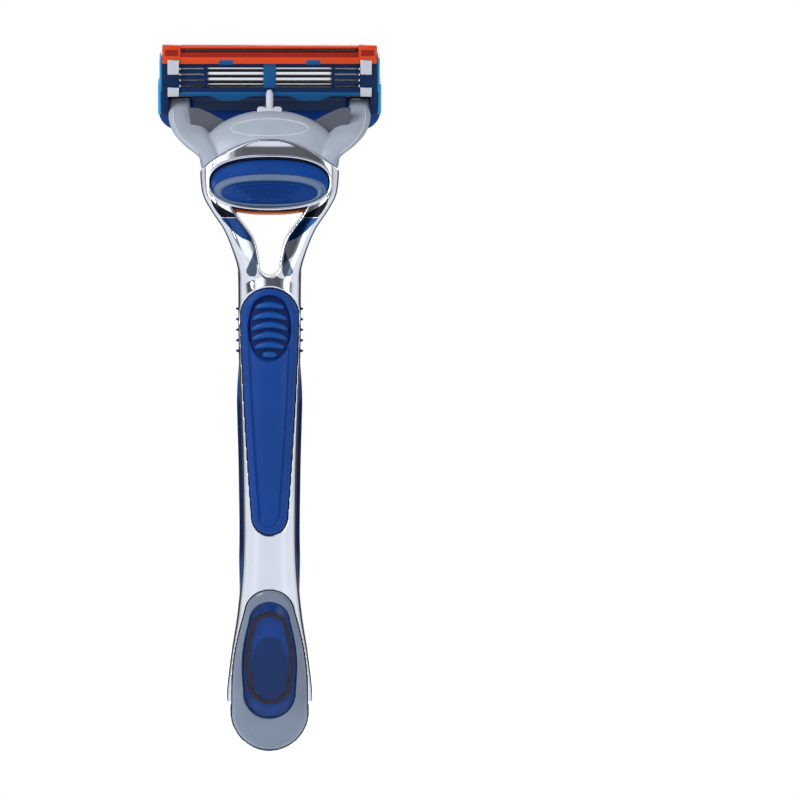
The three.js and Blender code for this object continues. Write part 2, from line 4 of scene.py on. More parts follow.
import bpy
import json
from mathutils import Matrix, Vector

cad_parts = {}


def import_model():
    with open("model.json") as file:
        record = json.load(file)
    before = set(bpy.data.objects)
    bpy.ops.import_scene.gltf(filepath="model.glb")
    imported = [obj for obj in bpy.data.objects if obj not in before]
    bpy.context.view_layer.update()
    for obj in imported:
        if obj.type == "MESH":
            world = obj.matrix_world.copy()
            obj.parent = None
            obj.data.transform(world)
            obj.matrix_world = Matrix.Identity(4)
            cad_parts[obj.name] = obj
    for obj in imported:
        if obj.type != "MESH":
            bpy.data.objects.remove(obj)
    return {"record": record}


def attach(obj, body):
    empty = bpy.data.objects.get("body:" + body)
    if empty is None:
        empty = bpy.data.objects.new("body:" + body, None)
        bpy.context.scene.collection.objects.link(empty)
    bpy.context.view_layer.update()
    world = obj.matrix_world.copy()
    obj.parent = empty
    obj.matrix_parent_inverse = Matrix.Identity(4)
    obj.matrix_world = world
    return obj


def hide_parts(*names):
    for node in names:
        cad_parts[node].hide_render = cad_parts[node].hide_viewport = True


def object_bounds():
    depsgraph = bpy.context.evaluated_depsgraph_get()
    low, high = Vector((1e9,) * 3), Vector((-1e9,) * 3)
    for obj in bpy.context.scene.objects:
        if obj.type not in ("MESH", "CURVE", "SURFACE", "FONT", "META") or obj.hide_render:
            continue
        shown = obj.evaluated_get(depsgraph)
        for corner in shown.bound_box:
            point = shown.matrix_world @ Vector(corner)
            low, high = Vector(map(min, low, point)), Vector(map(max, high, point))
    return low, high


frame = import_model()

import copy
import json
import math

import bmesh
import bpy
import numpy as np
from mathutils import Matrix, Vector

CAD_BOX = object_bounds()
RECORD = frame["record"]
JOINTS = {j["name"]: j for j in RECORD["behaviour"]["joints"]}
MM = 0.001

# ---- the frame's own directions ----

HEAD_UP = np.array(JOINTS["button_slide"]["axis"])
HEAD_TILT = math.atan2(HEAD_UP[1], HEAD_UP[2])
HEAD_ORIGIN = (0, 1.5, -0.35)
PIVOT = [v / MM for v in JOINTS["cartridge_pivot"]["pos_m"]]
SKIN_NORMAL = -np.array(JOINTS["blade_1_float"]["axis"])
CARTRIDGE_TILT = math.atan2(SKIN_NORMAL[2], SKIN_NORMAL[1])
HEAD = Matrix.Translation(HEAD_ORIGIN) @ Matrix.Rotation(-HEAD_TILT, 4, "X")
CARTRIDGE = Matrix.Translation(PIVOT) @ Matrix.Rotation(CARTRIDGE_TILT, 4, "X")
WORLD = Matrix.Identity(4)

# ---- the handle's form: height, half width, half depth and centre line, as in the CAD ----

STATIONS = np.array([
    (-93, 8.3, 4.2, 2.2),
    (-85, 7.5, 4.3, 0.9),
    (-76, 6.15, 4.6, -0.6),
    (-66, 5.3, 4.9, -1.9),
    (-50, 5.3, 5.3, -2.9),
    (-36, 5.65, 5.5, -3.0),
    (-22, 5.95, 5.3, -2.4),
    (-12, 6.0, 4.9, -1.4),
    (-7, 6.2, 4.6, -0.5),
    (0, 6.2, 4.6, 1.6),
    (14, 6.2, 4.6, 6.16),
])
BUTT_WIDEST = -93
BUTT_LENGTH = 11
BODY_TOP = -10.4
BODY_POWER = 2.6
SPLIT = 0.9
RING_FRONT = -5.6


def hermite(table, z):
    """The row of table at height z, by a cubic through the rows with chord slopes."""
    heights = table[:, 0]
    k = int(np.clip(np.searchsorted(heights, z) - 1, 0, len(heights) - 2))
    z0, z1 = heights[k], heights[k + 1]
    p = (z - z0) / (z1 - z0)
    before = table[k - 1] if k > 0 else table[k + 1]
    after = table[k + 2] if k + 2 < len(table) else table[k]
    gap_before = z0 - heights[k - 1] if k > 0 else z1 - z0
    gap_after = heights[k + 2] - z1 if k + 2 < len(table) else z1 - z0
    wp = 0.5 * (z1 - z0) / gap_before
    wn = 0.5 * (z1 - z0) / gap_after
    s0 = -wp * p**3 + 2 * wp * p**2 - wp * p
    s1 = (1 + wp) * p**3 + (-1.5 - 2 * wp) * p**2 + (-0.5 + wp) * p + 1
    s2 = (-1 - wn) * p**3 + (1.5 + wn) * p**2 + 0.5 * p
    s3 = wn * p**3 - wn * p**2
    return s0 * before[1:] + s1 * table[k][1:] + s2 * table[k + 1][1:] + s3 * after[1:]


def section(z):
    """Half width, half depth and centre line of the handle at height z."""
    w, d, y = hermite(STATIONS, min(max(z, BUTT_WIDEST), 14))
    below = min(max((BUTT_WIDEST - z) / BUTT_LENGTH, 0), 0.995)
    rounding = math.sqrt(1 - below * below)
    rise = (BUTT_WIDEST - min(z, BUTT_WIDEST)) * 0.17
    return w * rounding, d * (0.35 + 0.65 * rounding), y + rise


def skin_y(x, z, side, grow=0.0):
    """Depth of the handle's surface at x and z, on the thumb side (-1) or the blade side (+1)."""
    w, d, y = section(z)
    share = min(abs(x) / (w + grow), 1)
    return y + side * (d + grow) * max(1 - share**BODY_POWER, 0.0) ** (1 / BODY_POWER)


# ---- meshes ----


def make(name, verts, faces, place=WORLD, smooth=True):
    mesh = bpy.data.meshes.new(name)
    points = [place @ Vector(v) * MM for v in verts]
    mesh.from_pydata(points, [], faces)
    work = bmesh.new()
    work.from_mesh(mesh)
    bmesh.ops.remove_doubles(work, verts=work.verts, dist=2e-7)
    bmesh.ops.recalc_face_normals(work, faces=work.faces)
    work.to_mesh(mesh)
    work.free()
    mesh.polygons.foreach_set("use_smooth", [smooth] * len(mesh.polygons))
    piece = bpy.data.objects.new(name, mesh)
    bpy.context.scene.collection.objects.link(piece)
    return piece


def grid_faces(rows, columns, closed=False, offset=0):
    faces = []
    for i in range(rows - 1):
        for j in range(columns if closed else columns - 1):
            k = (j + 1) % columns
            a, b = offset + i * columns + j, offset + i * columns + k
            faces.append((a, b, b + columns, a + columns))
    return faces


def stacked(name, rings, place=WORLD):
    """A closed solid from rings of equal length, capped at both ends."""
    columns = len(rings[0])
    verts = [v for ring in rings for v in ring]
    faces = grid_faces(len(rings), columns, closed=True)
    faces.append(tuple(range(columns)))
    faces.append(tuple(range(len(verts) - 1, len(verts) - columns - 1, -1)))
    return make(name, verts, faces, place)


def superellipse(count, power):
    for i in range(count):
        a = 2 * math.pi * i / count
        c, s = math.cos(a), math.sin(a)
        yield math.copysign(abs(c) ** (2 / power), c), math.copysign(abs(s) ** (2 / power), s)


def handle_loft(name):
    """The whole handle below the fork, with more rows towards the round butt."""
    rows = 220
    bottom = BUTT_WIDEST - BUTT_LENGTH
    rings = []
    for i in range(rows + 1):
        z = bottom + (BODY_TOP - bottom) * (i / rows) ** 1.5
        w, d, y = section(z)
        rings.append([(x * w, y + v * d, z) for x, v in superellipse(96, BODY_POWER)])
    return stacked(name, rings)


class Egg:
    """An upright capsule whose ends have radii of their own and whose sides may belly out."""

    def __init__(self, top, top_radius, bottom, bottom_radius, bulge=0.0):
        self.bulge = bulge
        self.high, self.low = top - top_radius, bottom + bottom_radius
        self.r1, self.r0 = top_radius, bottom_radius
        self.lean = (self.r0 - self.r1) / (self.high - self.low)
        self.top, self.bottom = top, bottom

    def inside(self, x, z):
        """How far inside the outline a point lies."""
        cos = math.sqrt(1 - self.lean**2)
        t = (z - abs(x) * self.lean / cos - self.low) / (self.high - self.low)
        t = min(max(t, 0), 1)
        centre = self.low + t * (self.high - self.low)
        radius = self.r0 + t * (self.r1 - self.r0) + self.bulge * math.sin(math.pi * t)
        return radius - math.hypot(x, z - centre)

    def grown(self, extra):
        """The same outline moved outwards."""
        more = copy.copy(self)
        more.r0, more.r1 = self.r0 + extra, self.r1 + extra
        more.top, more.bottom = self.top + extra, self.bottom - extra
        return more

    def half_width(self, z):
        low, high = 0.0, 12.0
        if self.inside(0, z) <= 0:
            return 0.0
        for _ in range(26):
            middle = (low + high) / 2
            if self.inside(middle, z) > 0:
                low = middle
            else:
                high = middle
        return low


class Oval:
    def __init__(self, centre, half_width, half_height, power=2.4):
        self.c, self.a, self.b, self.p = centre, half_width, half_height, power
        self.top, self.bottom = centre + half_height, centre - half_height

    def inside(self, x, z):
        f = (abs(x / self.a) ** self.p + abs((z - self.c) / self.b) ** self.p) ** (1 / self.p)
        return (1 - f) * self.b

    def half_width(self, z):
        share = min(abs((z - self.c) / self.b), 1)
        return self.a * (1 - share**self.p) ** (1 / self.p)


def slab(name, outline, outer, inner, columns=60, rows=120, place=WORLD):
    """A solid inside an upright outline, between two depths given as functions of x and z."""
    verts, count = [], columns + 1
    for surface in (outer, inner):
        for i in range(rows + 1):
            z = outline.bottom + (outline.top - outline.bottom) * (1 - math.cos(math.pi * i / rows)) / 2
            half = max(outline.half_width(z), 1e-3)
            for j in range(count):
                x = half * math.sin(math.pi * (j / columns - 0.5))
                verts.append((x, surface(x, z), z))
    layer = (rows + 1) * count
    faces = grid_faces(rows + 1, count) + grid_faces(rows + 1, count, offset=layer)
    rim = [i * count for i in range(rows + 1)]
    rim += [rows * count + j for j in range(1, count)]
    rim += [i * count + columns for i in range(rows - 1, -1, -1)]
    rim += [j for j in range(columns - 1, 0, -1)]
    for k, a in enumerate(rim):
        b = rim[(k + 1) % len(rim)]
        faces.append((a, b, b + layer, a + layer))
    return make(name, verts, faces, place)


def step(value, width):
    """0 to 1 as value goes from 0 to width, with eased ends."""
    t = min(max(value / width, 0), 1)
    return t * t * (3 - 2 * t)


def rounded_box(name, low, high, bevel, place=WORLD, segments=3):
    work = bmesh.new()
    bmesh.ops.create_cube(work, size=1)
    for v in work.verts:
        v.co = Vector([low[k] if v.co[k] < 0 else high[k] for k in range(3)])
    bmesh.ops.bevel(work, geom=list(work.edges), offset=bevel, segments=segments, affect="EDGES", profile=0.5)
    verts = [tuple(v.co) for v in work.verts]
    work.verts.index_update()
    faces = [tuple(v.index for v in f.verts) for f in work.faces]
    work.free()
    return make(name, verts, faces, place)


def sectioned(name, points, half, bevel, place=WORLD, segments=3, ends=None):
    """A section drawn in y and z, run along x from -half to half, with rounded edges."""
    low, high = ends or (-half, half)
    work = bmesh.new()
    loops = [[work.verts.new((x, y, z)) for y, z in points] for x in (low, high)]
    work.faces.new(loops[0])
    work.faces.new(list(reversed(loops[1])))
    for k in range(len(points)):
        n = (k + 1) % len(points)
        work.faces.new((loops[0][k], loops[1][k], loops[1][n], loops[0][n]))
    bmesh.ops.recalc_face_normals(work, faces=work.faces)
    if bevel:
        bmesh.ops.bevel(work, geom=list(work.edges), offset=bevel, segments=segments, affect="EDGES",
                        profile=0.5, clamp_overlap=True)
    work.verts.index_update()
    verts = [tuple(v.co) for v in work.verts]
    faces = [tuple(v.index for v in f.verts) for f in work.faces]
    work.free()
    return make(name, verts, faces, place)


def plate(name, outline, front, back, bevel, place=WORLD, segments=3):
    """An outline drawn in x and z, as a plate between two depths with rounded edges."""
    work = bmesh.new()
    loops = [[work.verts.new((x, y, z)) for x, z in outline] for y in (front, back)]
    caps = [work.faces.new(loops[0]), work.faces.new(list(reversed(loops[1])))]
    for k in range(len(outline)):
        n = (k + 1) % len(outline)
        work.faces.new((loops[0][k], loops[1][k], loops[1][n], loops[0][n]))
    bmesh.ops.recalc_face_normals(work, faces=work.faces)
    edges = {e for f in caps for e in f.edges}
    bmesh.ops.bevel(work, geom=list(edges), offset=bevel, segments=segments, affect="EDGES", profile=0.5)
    work.verts.index_update()
    verts = [tuple(v.co) for v in work.verts]
    faces = [tuple(v.index for v in f.verts) for f in work.faces]
    work.free()
    return make(name, verts, faces, place)


def tube(name, points, radius, place=WORLD, around=12, closed=False, flat=1.0):
    """A round bar along a list of points."""
    path = [Vector(p) for p in points]
    count = len(path)
    rings = []
    for i, p in enumerate(path):
        before = path[i - 1] if i or closed else p
        after = path[(i + 1) % count] if i + 1 < count or closed else p
        along = (after - before).normalized()
        side = along.cross(Vector((0, 1, 0)) if abs(along.y) < 0.9 else Vector((0, 0, 1))).normalized()
        up = side.cross(along)
        r = radius(i / (count - 1)) if callable(radius) else radius
        ring = []
        for j in range(around):
            a = 2 * math.pi * j / around
            ring.append(tuple(p + side * r * math.cos(a) + up * r * flat * math.sin(a)))
        rings.append(ring)
    if not closed:
        return stacked(name, rings, place)
    verts = [v for ring in rings for v in ring]
    faces = grid_faces(count, around, closed=True)
    last = (count - 1) * around
    faces += [(last + j, last + (j + 1) % around, (j + 1) % around, j) for j in range(around)]
    return make(name, verts, faces, place)


def settle(piece):
    """Replaces a piece's mesh with what its modifiers make of it."""
    shown = piece.evaluated_get(bpy.context.evaluated_depsgraph_get())
    mesh = bpy.data.meshes.new_from_object(shown)
    old = piece.data
    piece.modifiers.clear()
    piece.data = mesh
    bpy.data.meshes.remove(old)
    return piece


def combine(piece, operation, *others):
    """Joins to the piece, or cuts from it, solids that are then thrown away."""
    for other in others:
        modifier = piece.modifiers.new("boolean", "BOOLEAN")
        modifier.operation = operation
        modifier.object = other
        modifier.solver = "EXACT"
        settle(piece)
        bpy.data.objects.remove(other)
    return piece


def soften(piece, voxel, rounds):
    """Remeshes a solid finely and smooths it, so that its edges become small fillets."""
    remesh = piece.modifiers.new("remesh", "REMESH")
    remesh.mode = "VOXEL"
    remesh.voxel_size = voxel * MM
    smooth = piece.modifiers.new("smooth", "SMOOTH")
    smooth.factor = 0.5
    smooth.iterations = rounds
    settle(piece)
    piece.data.polygons.foreach_set("use_smooth", [True] * len(piece.data.polygons))
    return piece


def crisp(piece):
    """Keeps the sharper edges hard when shading."""
    limit = math.radians(35)
    work = bmesh.new()
    work.from_mesh(piece.data)
    for edge in work.edges:
        edge.smooth = len(edge.link_faces) == 2 and edge.calc_face_angle(0) < limit
    work.to_mesh(piece.data)
    work.free()
    return piece


def merged(name, pieces):
    """One piece from several that share a material."""
    work = bmesh.new()
    for piece in pieces:
        work.from_mesh(piece.data)
    mesh = bpy.data.meshes.new(name)
    work.to_mesh(mesh)
    work.free()
    for piece in pieces:
        bpy.data.objects.remove(piece)
    whole = bpy.data.objects.new(name, mesh)
    bpy.context.scene.collection.objects.link(whole)
    return whole


def place_piece(piece, body, slot, material, *nodes):
    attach(piece, body)
    if nodes:
        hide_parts(*nodes)
    piece.data.materials.clear()
    piece.data.materials.append(material)
    return piece


# ---- materials ----


def linear(r, g, b):
    return tuple(((c / 255 + 0.055) / 1.055) ** 2.4 if c > 10 else c / 3295 for c in (r, g, b)) + (1.0,)


class Finish:
    """A principled material whose colour, roughness and relief come from procedural textures."""

    def __init__(self, name, colour, roughness, metallic=0.0, **sockets):
        self.material = bpy.data.materials.new(name)
        self.material.use_nodes = True
        self.tree = self.material.node_tree
        self.shader = self.tree.nodes["Principled BSDF"]
        self.shader.inputs["Base Color"].default_value = colour
        self.shader.inputs["Roughness"].default_value = roughness
        self.shader.inputs["Metallic"].default_value = metallic
        for socket, value in sockets.items():
            self.shader.inputs[socket.replace("_", " ")].default_value = value
        self.colour, self.roughness = colour, roughness
        self.place = self.tree.nodes.new("ShaderNodeTexCoord").outputs["Object"]

    def node(self, kind, **values):
        node = self.tree.nodes.new(kind)
        for key, value in values.items():
            if key in node.inputs:
                node.inputs[key].default_value = value
            else:
                setattr(node, key, value)
        return node

    def noise(self, scale, detail=4.0, stretch=(1, 1, 1)):
        mapping = self.node("ShaderNodeMapping")
        mapping.inputs["Scale"].default_value = stretch
        self.tree.links.new(self.place, mapping.inputs["Vector"])
        noise = self.node("ShaderNodeTexNoise", Scale=scale, Detail=detail)
        self.tree.links.new(mapping.outputs[0], noise.inputs["Vector"])
        return noise.outputs["Fac"]

    def spread(self, value, low, high):
        rescale = self.node("ShaderNodeMapRange")
        for socket, number in zip(("From Min", "From Max", "To Min", "To Max"), (0.3, 0.7, low, high)):
            rescale.inputs[socket].default_value = number
        self.tree.links.new(value, rescale.inputs["Value"])
        return rescale.outputs[0]

    def mottle(self, scale, amount, stretch=(1, 1, 1)):
        """Lightens and darkens the colour a little."""
        mix = self.node("ShaderNodeMix", data_type="RGBA")
        dark = tuple(c * (1 - amount) for c in self.colour[:3]) + (1,)
        light = tuple(min(c * (1 + amount), 1) for c in self.colour[:3]) + (1,)
        mix.inputs[6].default_value, mix.inputs[7].default_value = dark, light
        self.tree.links.new(self.spread(self.noise(scale, 3.0, stretch), 0, 1), mix.inputs[0])
        self.tree.links.new(mix.outputs[2], self.shader.inputs["Base Color"])
        return self

    def wear(self, scale, amount, stretch=(1, 1, 1)):
        """Varies the roughness by an amount either way."""
        value = self.spread(self.noise(scale, 5.0, stretch), self.roughness - amount, self.roughness + amount)
        self.tree.links.new(value, self.shader.inputs["Roughness"])
        return self

    def grain(self, scale, height, stretch=(1, 1, 1)):
        """Fine relief, with its height in millimetres."""
        bump = self.node("ShaderNodeBump", Strength=0.6, Distance=height * MM)
        self.tree.links.new(self.noise(scale, 4.0, stretch), bump.inputs["Height"])
        self.tree.links.new(bump.outputs[0], self.shader.inputs["Normal"])
        return self


def moulded(name, rgb, roughness, grain_height=0.012, **sockets):
    """Moulded plastic or rubber: faint mottle, uneven gloss and a fine spark-eroded grain."""
    sockets = {"Specular_IOR_Level": 0.14, **sockets}
    return Finish(name, linear(*rgb), roughness, **sockets).mottle(160, 0.07).wear(420, 0.05) \
        .grain(9000, grain_height).material


def metal(name, rgb, roughness, stretch=(1, 1, 1), grain=0.002, wear=0.02):
    return Finish(name, linear(*rgb), roughness, 1.0).mottle(220, 0.03, stretch).wear(900, wear, stretch) \
        .grain(2600, grain, stretch).material


CHROME = metal("plated_chrome", (228, 233, 244), 0.055, grain=0.0008, wear=0.015)
STEEL = metal("ground_steel", (242, 244, 248), 0.25, stretch=(0.05, 1, 1))
CLIP = metal("folded_aluminium", (206, 210, 220), 0.27, stretch=(1, 1, 0.08))
WIRE = metal("drawn_wire", (170, 172, 176), 0.3)
BLUE = moulded("blue_elastomer", (6, 58, 132), 0.42, Coat_Weight=0.1, Coat_Roughness=0.3)
BLUE_DEEP = moulded("blue_inlay_floor", (6, 52, 118), 0.5)
# Painted highlight: a lighter copy of the inlay's blue for the thumb pad's ridges.
BLUE_RIDGE_HIGHLIGHT = moulded("blue_ridges_painted_highlight", (10, 70, 144), 0.42, Coat_Weight=0.15, Coat_Roughness=0.25)
# Dark navy: the side nubs' own colour, and painted shade on the head liner and the thumb pad's floor.
NAVY_AND_PAINTED_SHADE = moulded("navy_nubs_and_painted_shade", (4, 28, 82), 0.5)
BLUE_DARK = moulded("dark_blue_plastic", (5, 36, 76), 0.42)
GUARD = moulded("guard_elastomer", (14, 42, 104), 0.5)
SKIRT = moulded("skirt_elastomer", (14, 58, 134), 0.4, Coat_Weight=0.1, Coat_Roughness=0.25)
GREY = moulded("yoke_grey", (158, 167, 180), 0.33, Coat_Weight=0.25, Coat_Roughness=0.2)
# Pale grey: the plunger's own colour, and a painted highlight on the yoke's panel lines.
PALE_GREY_AND_HIGHLIGHT = moulded("guide_grey", (190, 196, 204), 0.35)
BEZEL = moulded("bezel_grey", (110, 122, 140), 0.3, 0.006, Coat_Weight=0.3, Coat_Roughness=0.12)
CARRIER = moulded("carrier_grey", (160, 163, 171), 0.32, 0.008, Subsurface_Weight=0.15,
                  Subsurface_Scale=0.0015)
TRIM = moulded("trim_grey", (96, 116, 144), 0.4)
ORANGE = moulded("orange_plastic", (206, 100, 36), 0.42, 0.008)
TRIMMER = moulded("trimmer_orange", (203, 62, 16), 0.28, 0.004, Coat_Weight=0.25, Coat_Roughness=0.1)
# Painted shade: a deeper red copy of the trimmer orange for its shaded bands.
TRIMMER_SHADE_RED = moulded("trimmer_painted_shade_red", (140, 20, 6), 0.3, 0.004, Coat_Weight=0.2, Coat_Roughness=0.1)
# Painted shade: near-black for pieces set in gaps and behind the button, where only shade would be.
PAINTED_GAP_SHADE = moulded("seam_shadow", (18, 20, 26), 0.6)
STRIP = moulded("green_strip", (10, 196, 172), 0.45, 0.02)
AMBER = moulded("amber_ring", (150, 62, 34), 0.3, 0.004, Coat_Weight=0.5, Coat_Roughness=0.08)
BACKING = moulded("blue_backing", (24, 130, 194), 0.5, 0.0)
BACKING_DEEP = moulded("dark_backing", (28, 96, 138), 0.5, 0.0)
BLUE_MID = moulded("mid_blue_plastic", (14, 80, 132), 0.38)
SKY = moulded("light_blue_rubber", (48, 150, 214), 0.36, Coat_Weight=0.3, Coat_Roughness=0.2)
GREY_DARK = moulded("yoke_web_grey", (84, 88, 98), 0.45)
# Painted reflections: chrome tinted blue, near-black and slate, for what the fork's chrome would mirror on
# its slopes to the window.
CHROME_PAINTED_REFLECTION_BLUE = metal("painted_reflection_blue_chrome", (34, 69, 127), 0.12, grain=0.0008)
CHROME_PAINTED_REFLECTION_DARK = metal("painted_reflection_dark_chrome", (26, 27, 32), 0.12, grain=0.0008)
CHROME_PAINTED_REFLECTION_SLATE = metal("painted_reflection_slate_chrome", (82, 96, 116), 0.12, grain=0.0008)
# Painted shade: a darkened copy of the blade steel for the trimmer comb and the blades' bent supports.
STEEL_SHADE = metal("steel_painted_shade", (66, 68, 74), 0.34, stretch=(0.05, 1, 1))


def tinted_lens():
    finish = Finish("blue_lens", linear(150, 182, 224), 0.03, IOR=1.3, Transmission_Weight=1.0)
    return finish.mottle(300, 0.05).material


LENS = tinted_lens()

# ---- handle ----

INLAY = Egg(-13.7, 5.5, -60.3, 3.3, bulge=0.2)
PAD = Oval(-21.1, 3.95, 6.05, 2.2)
BADGE = Egg(-71.1, 4.6, -102.2, 7.2, bulge=0.8)
WINDOW = Egg(-73.3, 3.9, -96.1, 5.0, bulge=0.75)
RING = Egg(-75.4, 3.4, -93.4, 4.1, bulge=0.6)
HEART = Egg(-80.2, 2.7, -92.5, 3.3, bulge=0.3)
GRIP = Egg(-20.1, 6.4, -102.2, 8.3)
ISLAND = Egg(-74, 2.9, -96.7, 4.5)
PANEL = Egg(-25.1, 4.8, -71.1, 4.4)
FAR = 30


def front(depth):
    """The thumb side's surface, sunk by a depth that may depend on x and z."""
    return lambda x, z: skin_y(x, z, -1) + (depth(x, z) if callable(depth) else depth)


FORK_SIDE = np.array([(-17, 5.5), (-14, 5.85), (-10.5, 6.0), (-7.2, 6.9), (-2.7, 8.8), (0.4, 10.9),
                      (3.4, 12.6), (6.5, 13.15), (10, 13.2), (17, 13.2)])
FORK_DEPTH = np.array([(-17, 3.6), (-12, 4.4), (-8, 4.7), (0, 4.9), (8, 5.2), (17, 5.3)])


def fork_loft(name):
    """The fork and the head ring before they are pierced: rounded blocks stacked up the neck."""
    rings = []
    for i in range(141):
        z = -17 + 34 * i / 140
        half = hermite(FORK_SIDE, z)[0]
        d = hermite(FORK_DEPTH, z)[0]
        y = section(z)[2] - 0.4
        power = 2.6 + 2.4 * step(z + 14, 10)
        rings.append([(x * half, y + v * d, z) for x, v in superellipse(72, power)])
    return stacked(name, rings)


def ring_top(x, y):
    return 13.6 - (0.0272 - 0.0014 * min(max(y, -9), 9)) * x * x


def joint_solid(name, above, offset):
    """Everything above, or below, the curved joint between the ring and the yoke."""
    rows, columns, reach = 48, 30, 24
    surface, far = [], []
    for i in range(rows + 1):
        for j in range(columns + 1):
            x, y = -reach + 2 * reach * i / rows, -reach + 2 * reach * j / columns
            surface.append((x, y, ring_top(x, y) + offset))
            far.append((x, y, 60 if above else -15))
    count = columns + 1
    layer = (rows + 1) * count
    faces = grid_faces(rows + 1, count) + grid_faces(rows + 1, count, offset=layer)
    rim = [i * count for i in range(rows + 1)] + [rows * count + j for j in range(1, count)]
    rim += [i * count + columns for i in range(rows - 1, -1, -1)] + list(range(columns - 1, 0, -1))
    faces += [(a, b, b + layer, a + layer) for a, b in zip(rim, rim[1:] + rim[:1])]
    return make(name, surface + far, faces, HEAD)


def neck_window():
    side = np.array([(-9.6, 1.9), (-8, 2.05), (-4.4, 3.0), (0, 6.2), (2, 7.2)])
    heights = [2 - 11.6 * i / 30 for i in range(31)]
    right = [(hermite(side, z)[0], z) for z in heights]
    foot = [(1.9 * math.cos(a), -9.6 - 1.9 * math.sin(a)) for a in np.linspace(0, math.pi, 18)[1:-1]]
    left = [(-x, z) for x, z in reversed(right)]
    return right + foot + left


def oval_plate(name, oval, near, far):
    points = [(oval.a * x, oval.c + oval.b * z) for x, z in superellipse(96, oval.p)]
    return plate(name, points, near, far, 0.02, HEAD, 1)


def chrome_frame():
    body = handle_loft("chrome_frame_shell")
    combine(body, "UNION", fork_loft("fork"))
    behind = slab("behind", GRIP, lambda x, z: FAR, lambda x, z: section(z)[2] + SPLIT, 40, 120)
    pockets = [
        slab("inlay_pocket", INLAY.grown(0.16), lambda x, z: -FAR, front(1.2), 40, 120),
        slab("badge_pocket", BADGE.grown(0.18), lambda x, z: -FAR, front(2.3), 60, 120),
    ]
    head = [
        plate("window", neck_window(), -FAR, FAR, 0.01, WORLD, 1),
        oval_plate("cavity", Oval(5.4, 11.5, 5.2, 2.6), RING_FRONT + 1.1, 1.6),
        oval_plate("mouth", Oval(5.2, 11.45, 5.0), -12, RING_FRONT + 1.2),
        oval_plate("rear_mouth", Oval(5.75, 10.65, 4.45), 1.5, 12),
        rounded_box("nose_slot", (-4.3, -1.65, 8), (4.3, 1.65, 20), 0.02, HEAD, 1),
        joint_solid("above_joint", True, 0.0),
    ]
    combine(body, "DIFFERENCE", behind, *pockets, *head)
    soften(body, 0.17, 7)
    place_piece(body, "handle", "chrome", CHROME, "chrome_frame")
    rim = [(11.62 * x, RING_FRONT + 0.36, 5.2 + 5.18 * z) for x, z in superellipse(160, 2.4)]
    place_piece(tube("chrome_lip", rim, 0.26, HEAD, 16, closed=True), "handle", "chrome", CHROME)
    # Painted shade: a dark ring behind the lip darkens the gap round the release button.
    shade_ring_path = [(11.62 * x, RING_FRONT + 1.35, 5.06 + 5.12 * z) for x, z in superellipse(160, 2.4)]
    place_piece(tube("mouth_shade", shade_ring_path, 0.24, HEAD, 12, closed=True), "handle", "blue_plastic", PAINTED_GAP_SHADE)
    # Painted shade: a dark navy plate inside the head makes the cavity behind the button read dark.
    shade_liner = oval_plate("head_liner", Oval(5.9, 11.3, 4.35, 2.6), 1.2, 1.66)
    place_piece(shade_liner, "handle", "blue_plastic", NAVY_AND_PAINTED_SHADE)
    under_pad = front(lambda x, z: 0.45 + 0.6 * step(PAD.inside(x, z) + 0.6, 0.3))
    under_lens = front(lambda x, z: 0.4 + 1.6 * step(WINDOW.inside(x, z) + 0.7, 0.3))
    # Painted shade: dark slabs under the gaps round the inlay and the badge give them a dark outline.
    gap_shades = [slab("seam", INLAY.grown(0.1), under_pad, front(1.15), 60, 160),
             slab("seam", BADGE.grown(0.12), under_lens, front(2.28), 60, 120)]
    place_piece(merged("inlay_seams", gap_shades), "handle", "blue_plastic", PAINTED_GAP_SHADE)


def fork_front(x, z):
    """The thumb-side face of the fork before it is softened."""
    half, d = hermite(FORK_SIDE, z)[0], hermite(FORK_DEPTH, z)[0]
    power = 2.6 + 2.4 * step(z + 14, 10)
    return section(z)[2] - 0.4 - d * max(1 - abs(x / half) ** power, 0) ** (1 / power)


def flank(name, table, material):
    """Painted reflections: tinted chrome skins on both legs' slopes to the window, for what the chrome
    mirrors there, from rows of height, inner edge and outer edge.
    """
    rows, columns = 60, 13
    layer = rows * columns
    table = np.array(table)
    for side, word in ((1, "right"), (-1, "left")):
        verts = []
        for lift in (-0.05, 0.15):
            for z in np.linspace(table[0][0], table[-1][0], rows):
                inner, outer = hermite(table, z)
                for x in np.linspace(inner, max(outer, inner + 0.02), columns):
                    verts.append((side * x, fork_front(x, z) + lift, z))
        faces = grid_faces(rows, columns) + grid_faces(rows, columns, offset=layer)
        rim = [i * columns for i in range(rows)] + list(range(layer - columns + 1, layer))
        rim += [i * columns + columns - 1 for i in range(rows - 2, -1, -1)] + list(range(columns - 2, 0, -1))
        faces += [(a, b, b + layer, a + layer) for a, b in zip(rim, rim[1:] + rim[:1])]
        place_piece(make(f"{name}_{word}", verts, faces), "handle", "chrome", material)


def flanks():
    # Painted reflections: a near-black, a blue and a slate patch on each leg.
    dark = [(-0.35, 6.5, 9.2), (0.4, 6.9, 9.8), (1.1, 8.3, 10.3), (2.2, 10.1, 10.9), (3.2, 10.9, 11.1)]
    blue = [(-4.9, 3.5, 3.7), (-4.2, 3.5, 5.2), (-3, 4.3, 6.8), (-1.5, 5.4, 8.3), (-0.45, 6.3, 9.1)]
    slate = [(-11.4, 2.7, 3.9), (-10.6, 2.4, 4.4), (-9, 2.45, 3.9), (-7.5, 2.6, 3.3), (-6.4, 2.9, 3.0)]
    flank("flank_dark", dark, CHROME_PAINTED_REFLECTION_DARK)
    flank("flank_blue", blue, CHROME_PAINTED_REFLECTION_BLUE)
    flank("flank_slate", slate, CHROME_PAINTED_REFLECTION_SLATE)


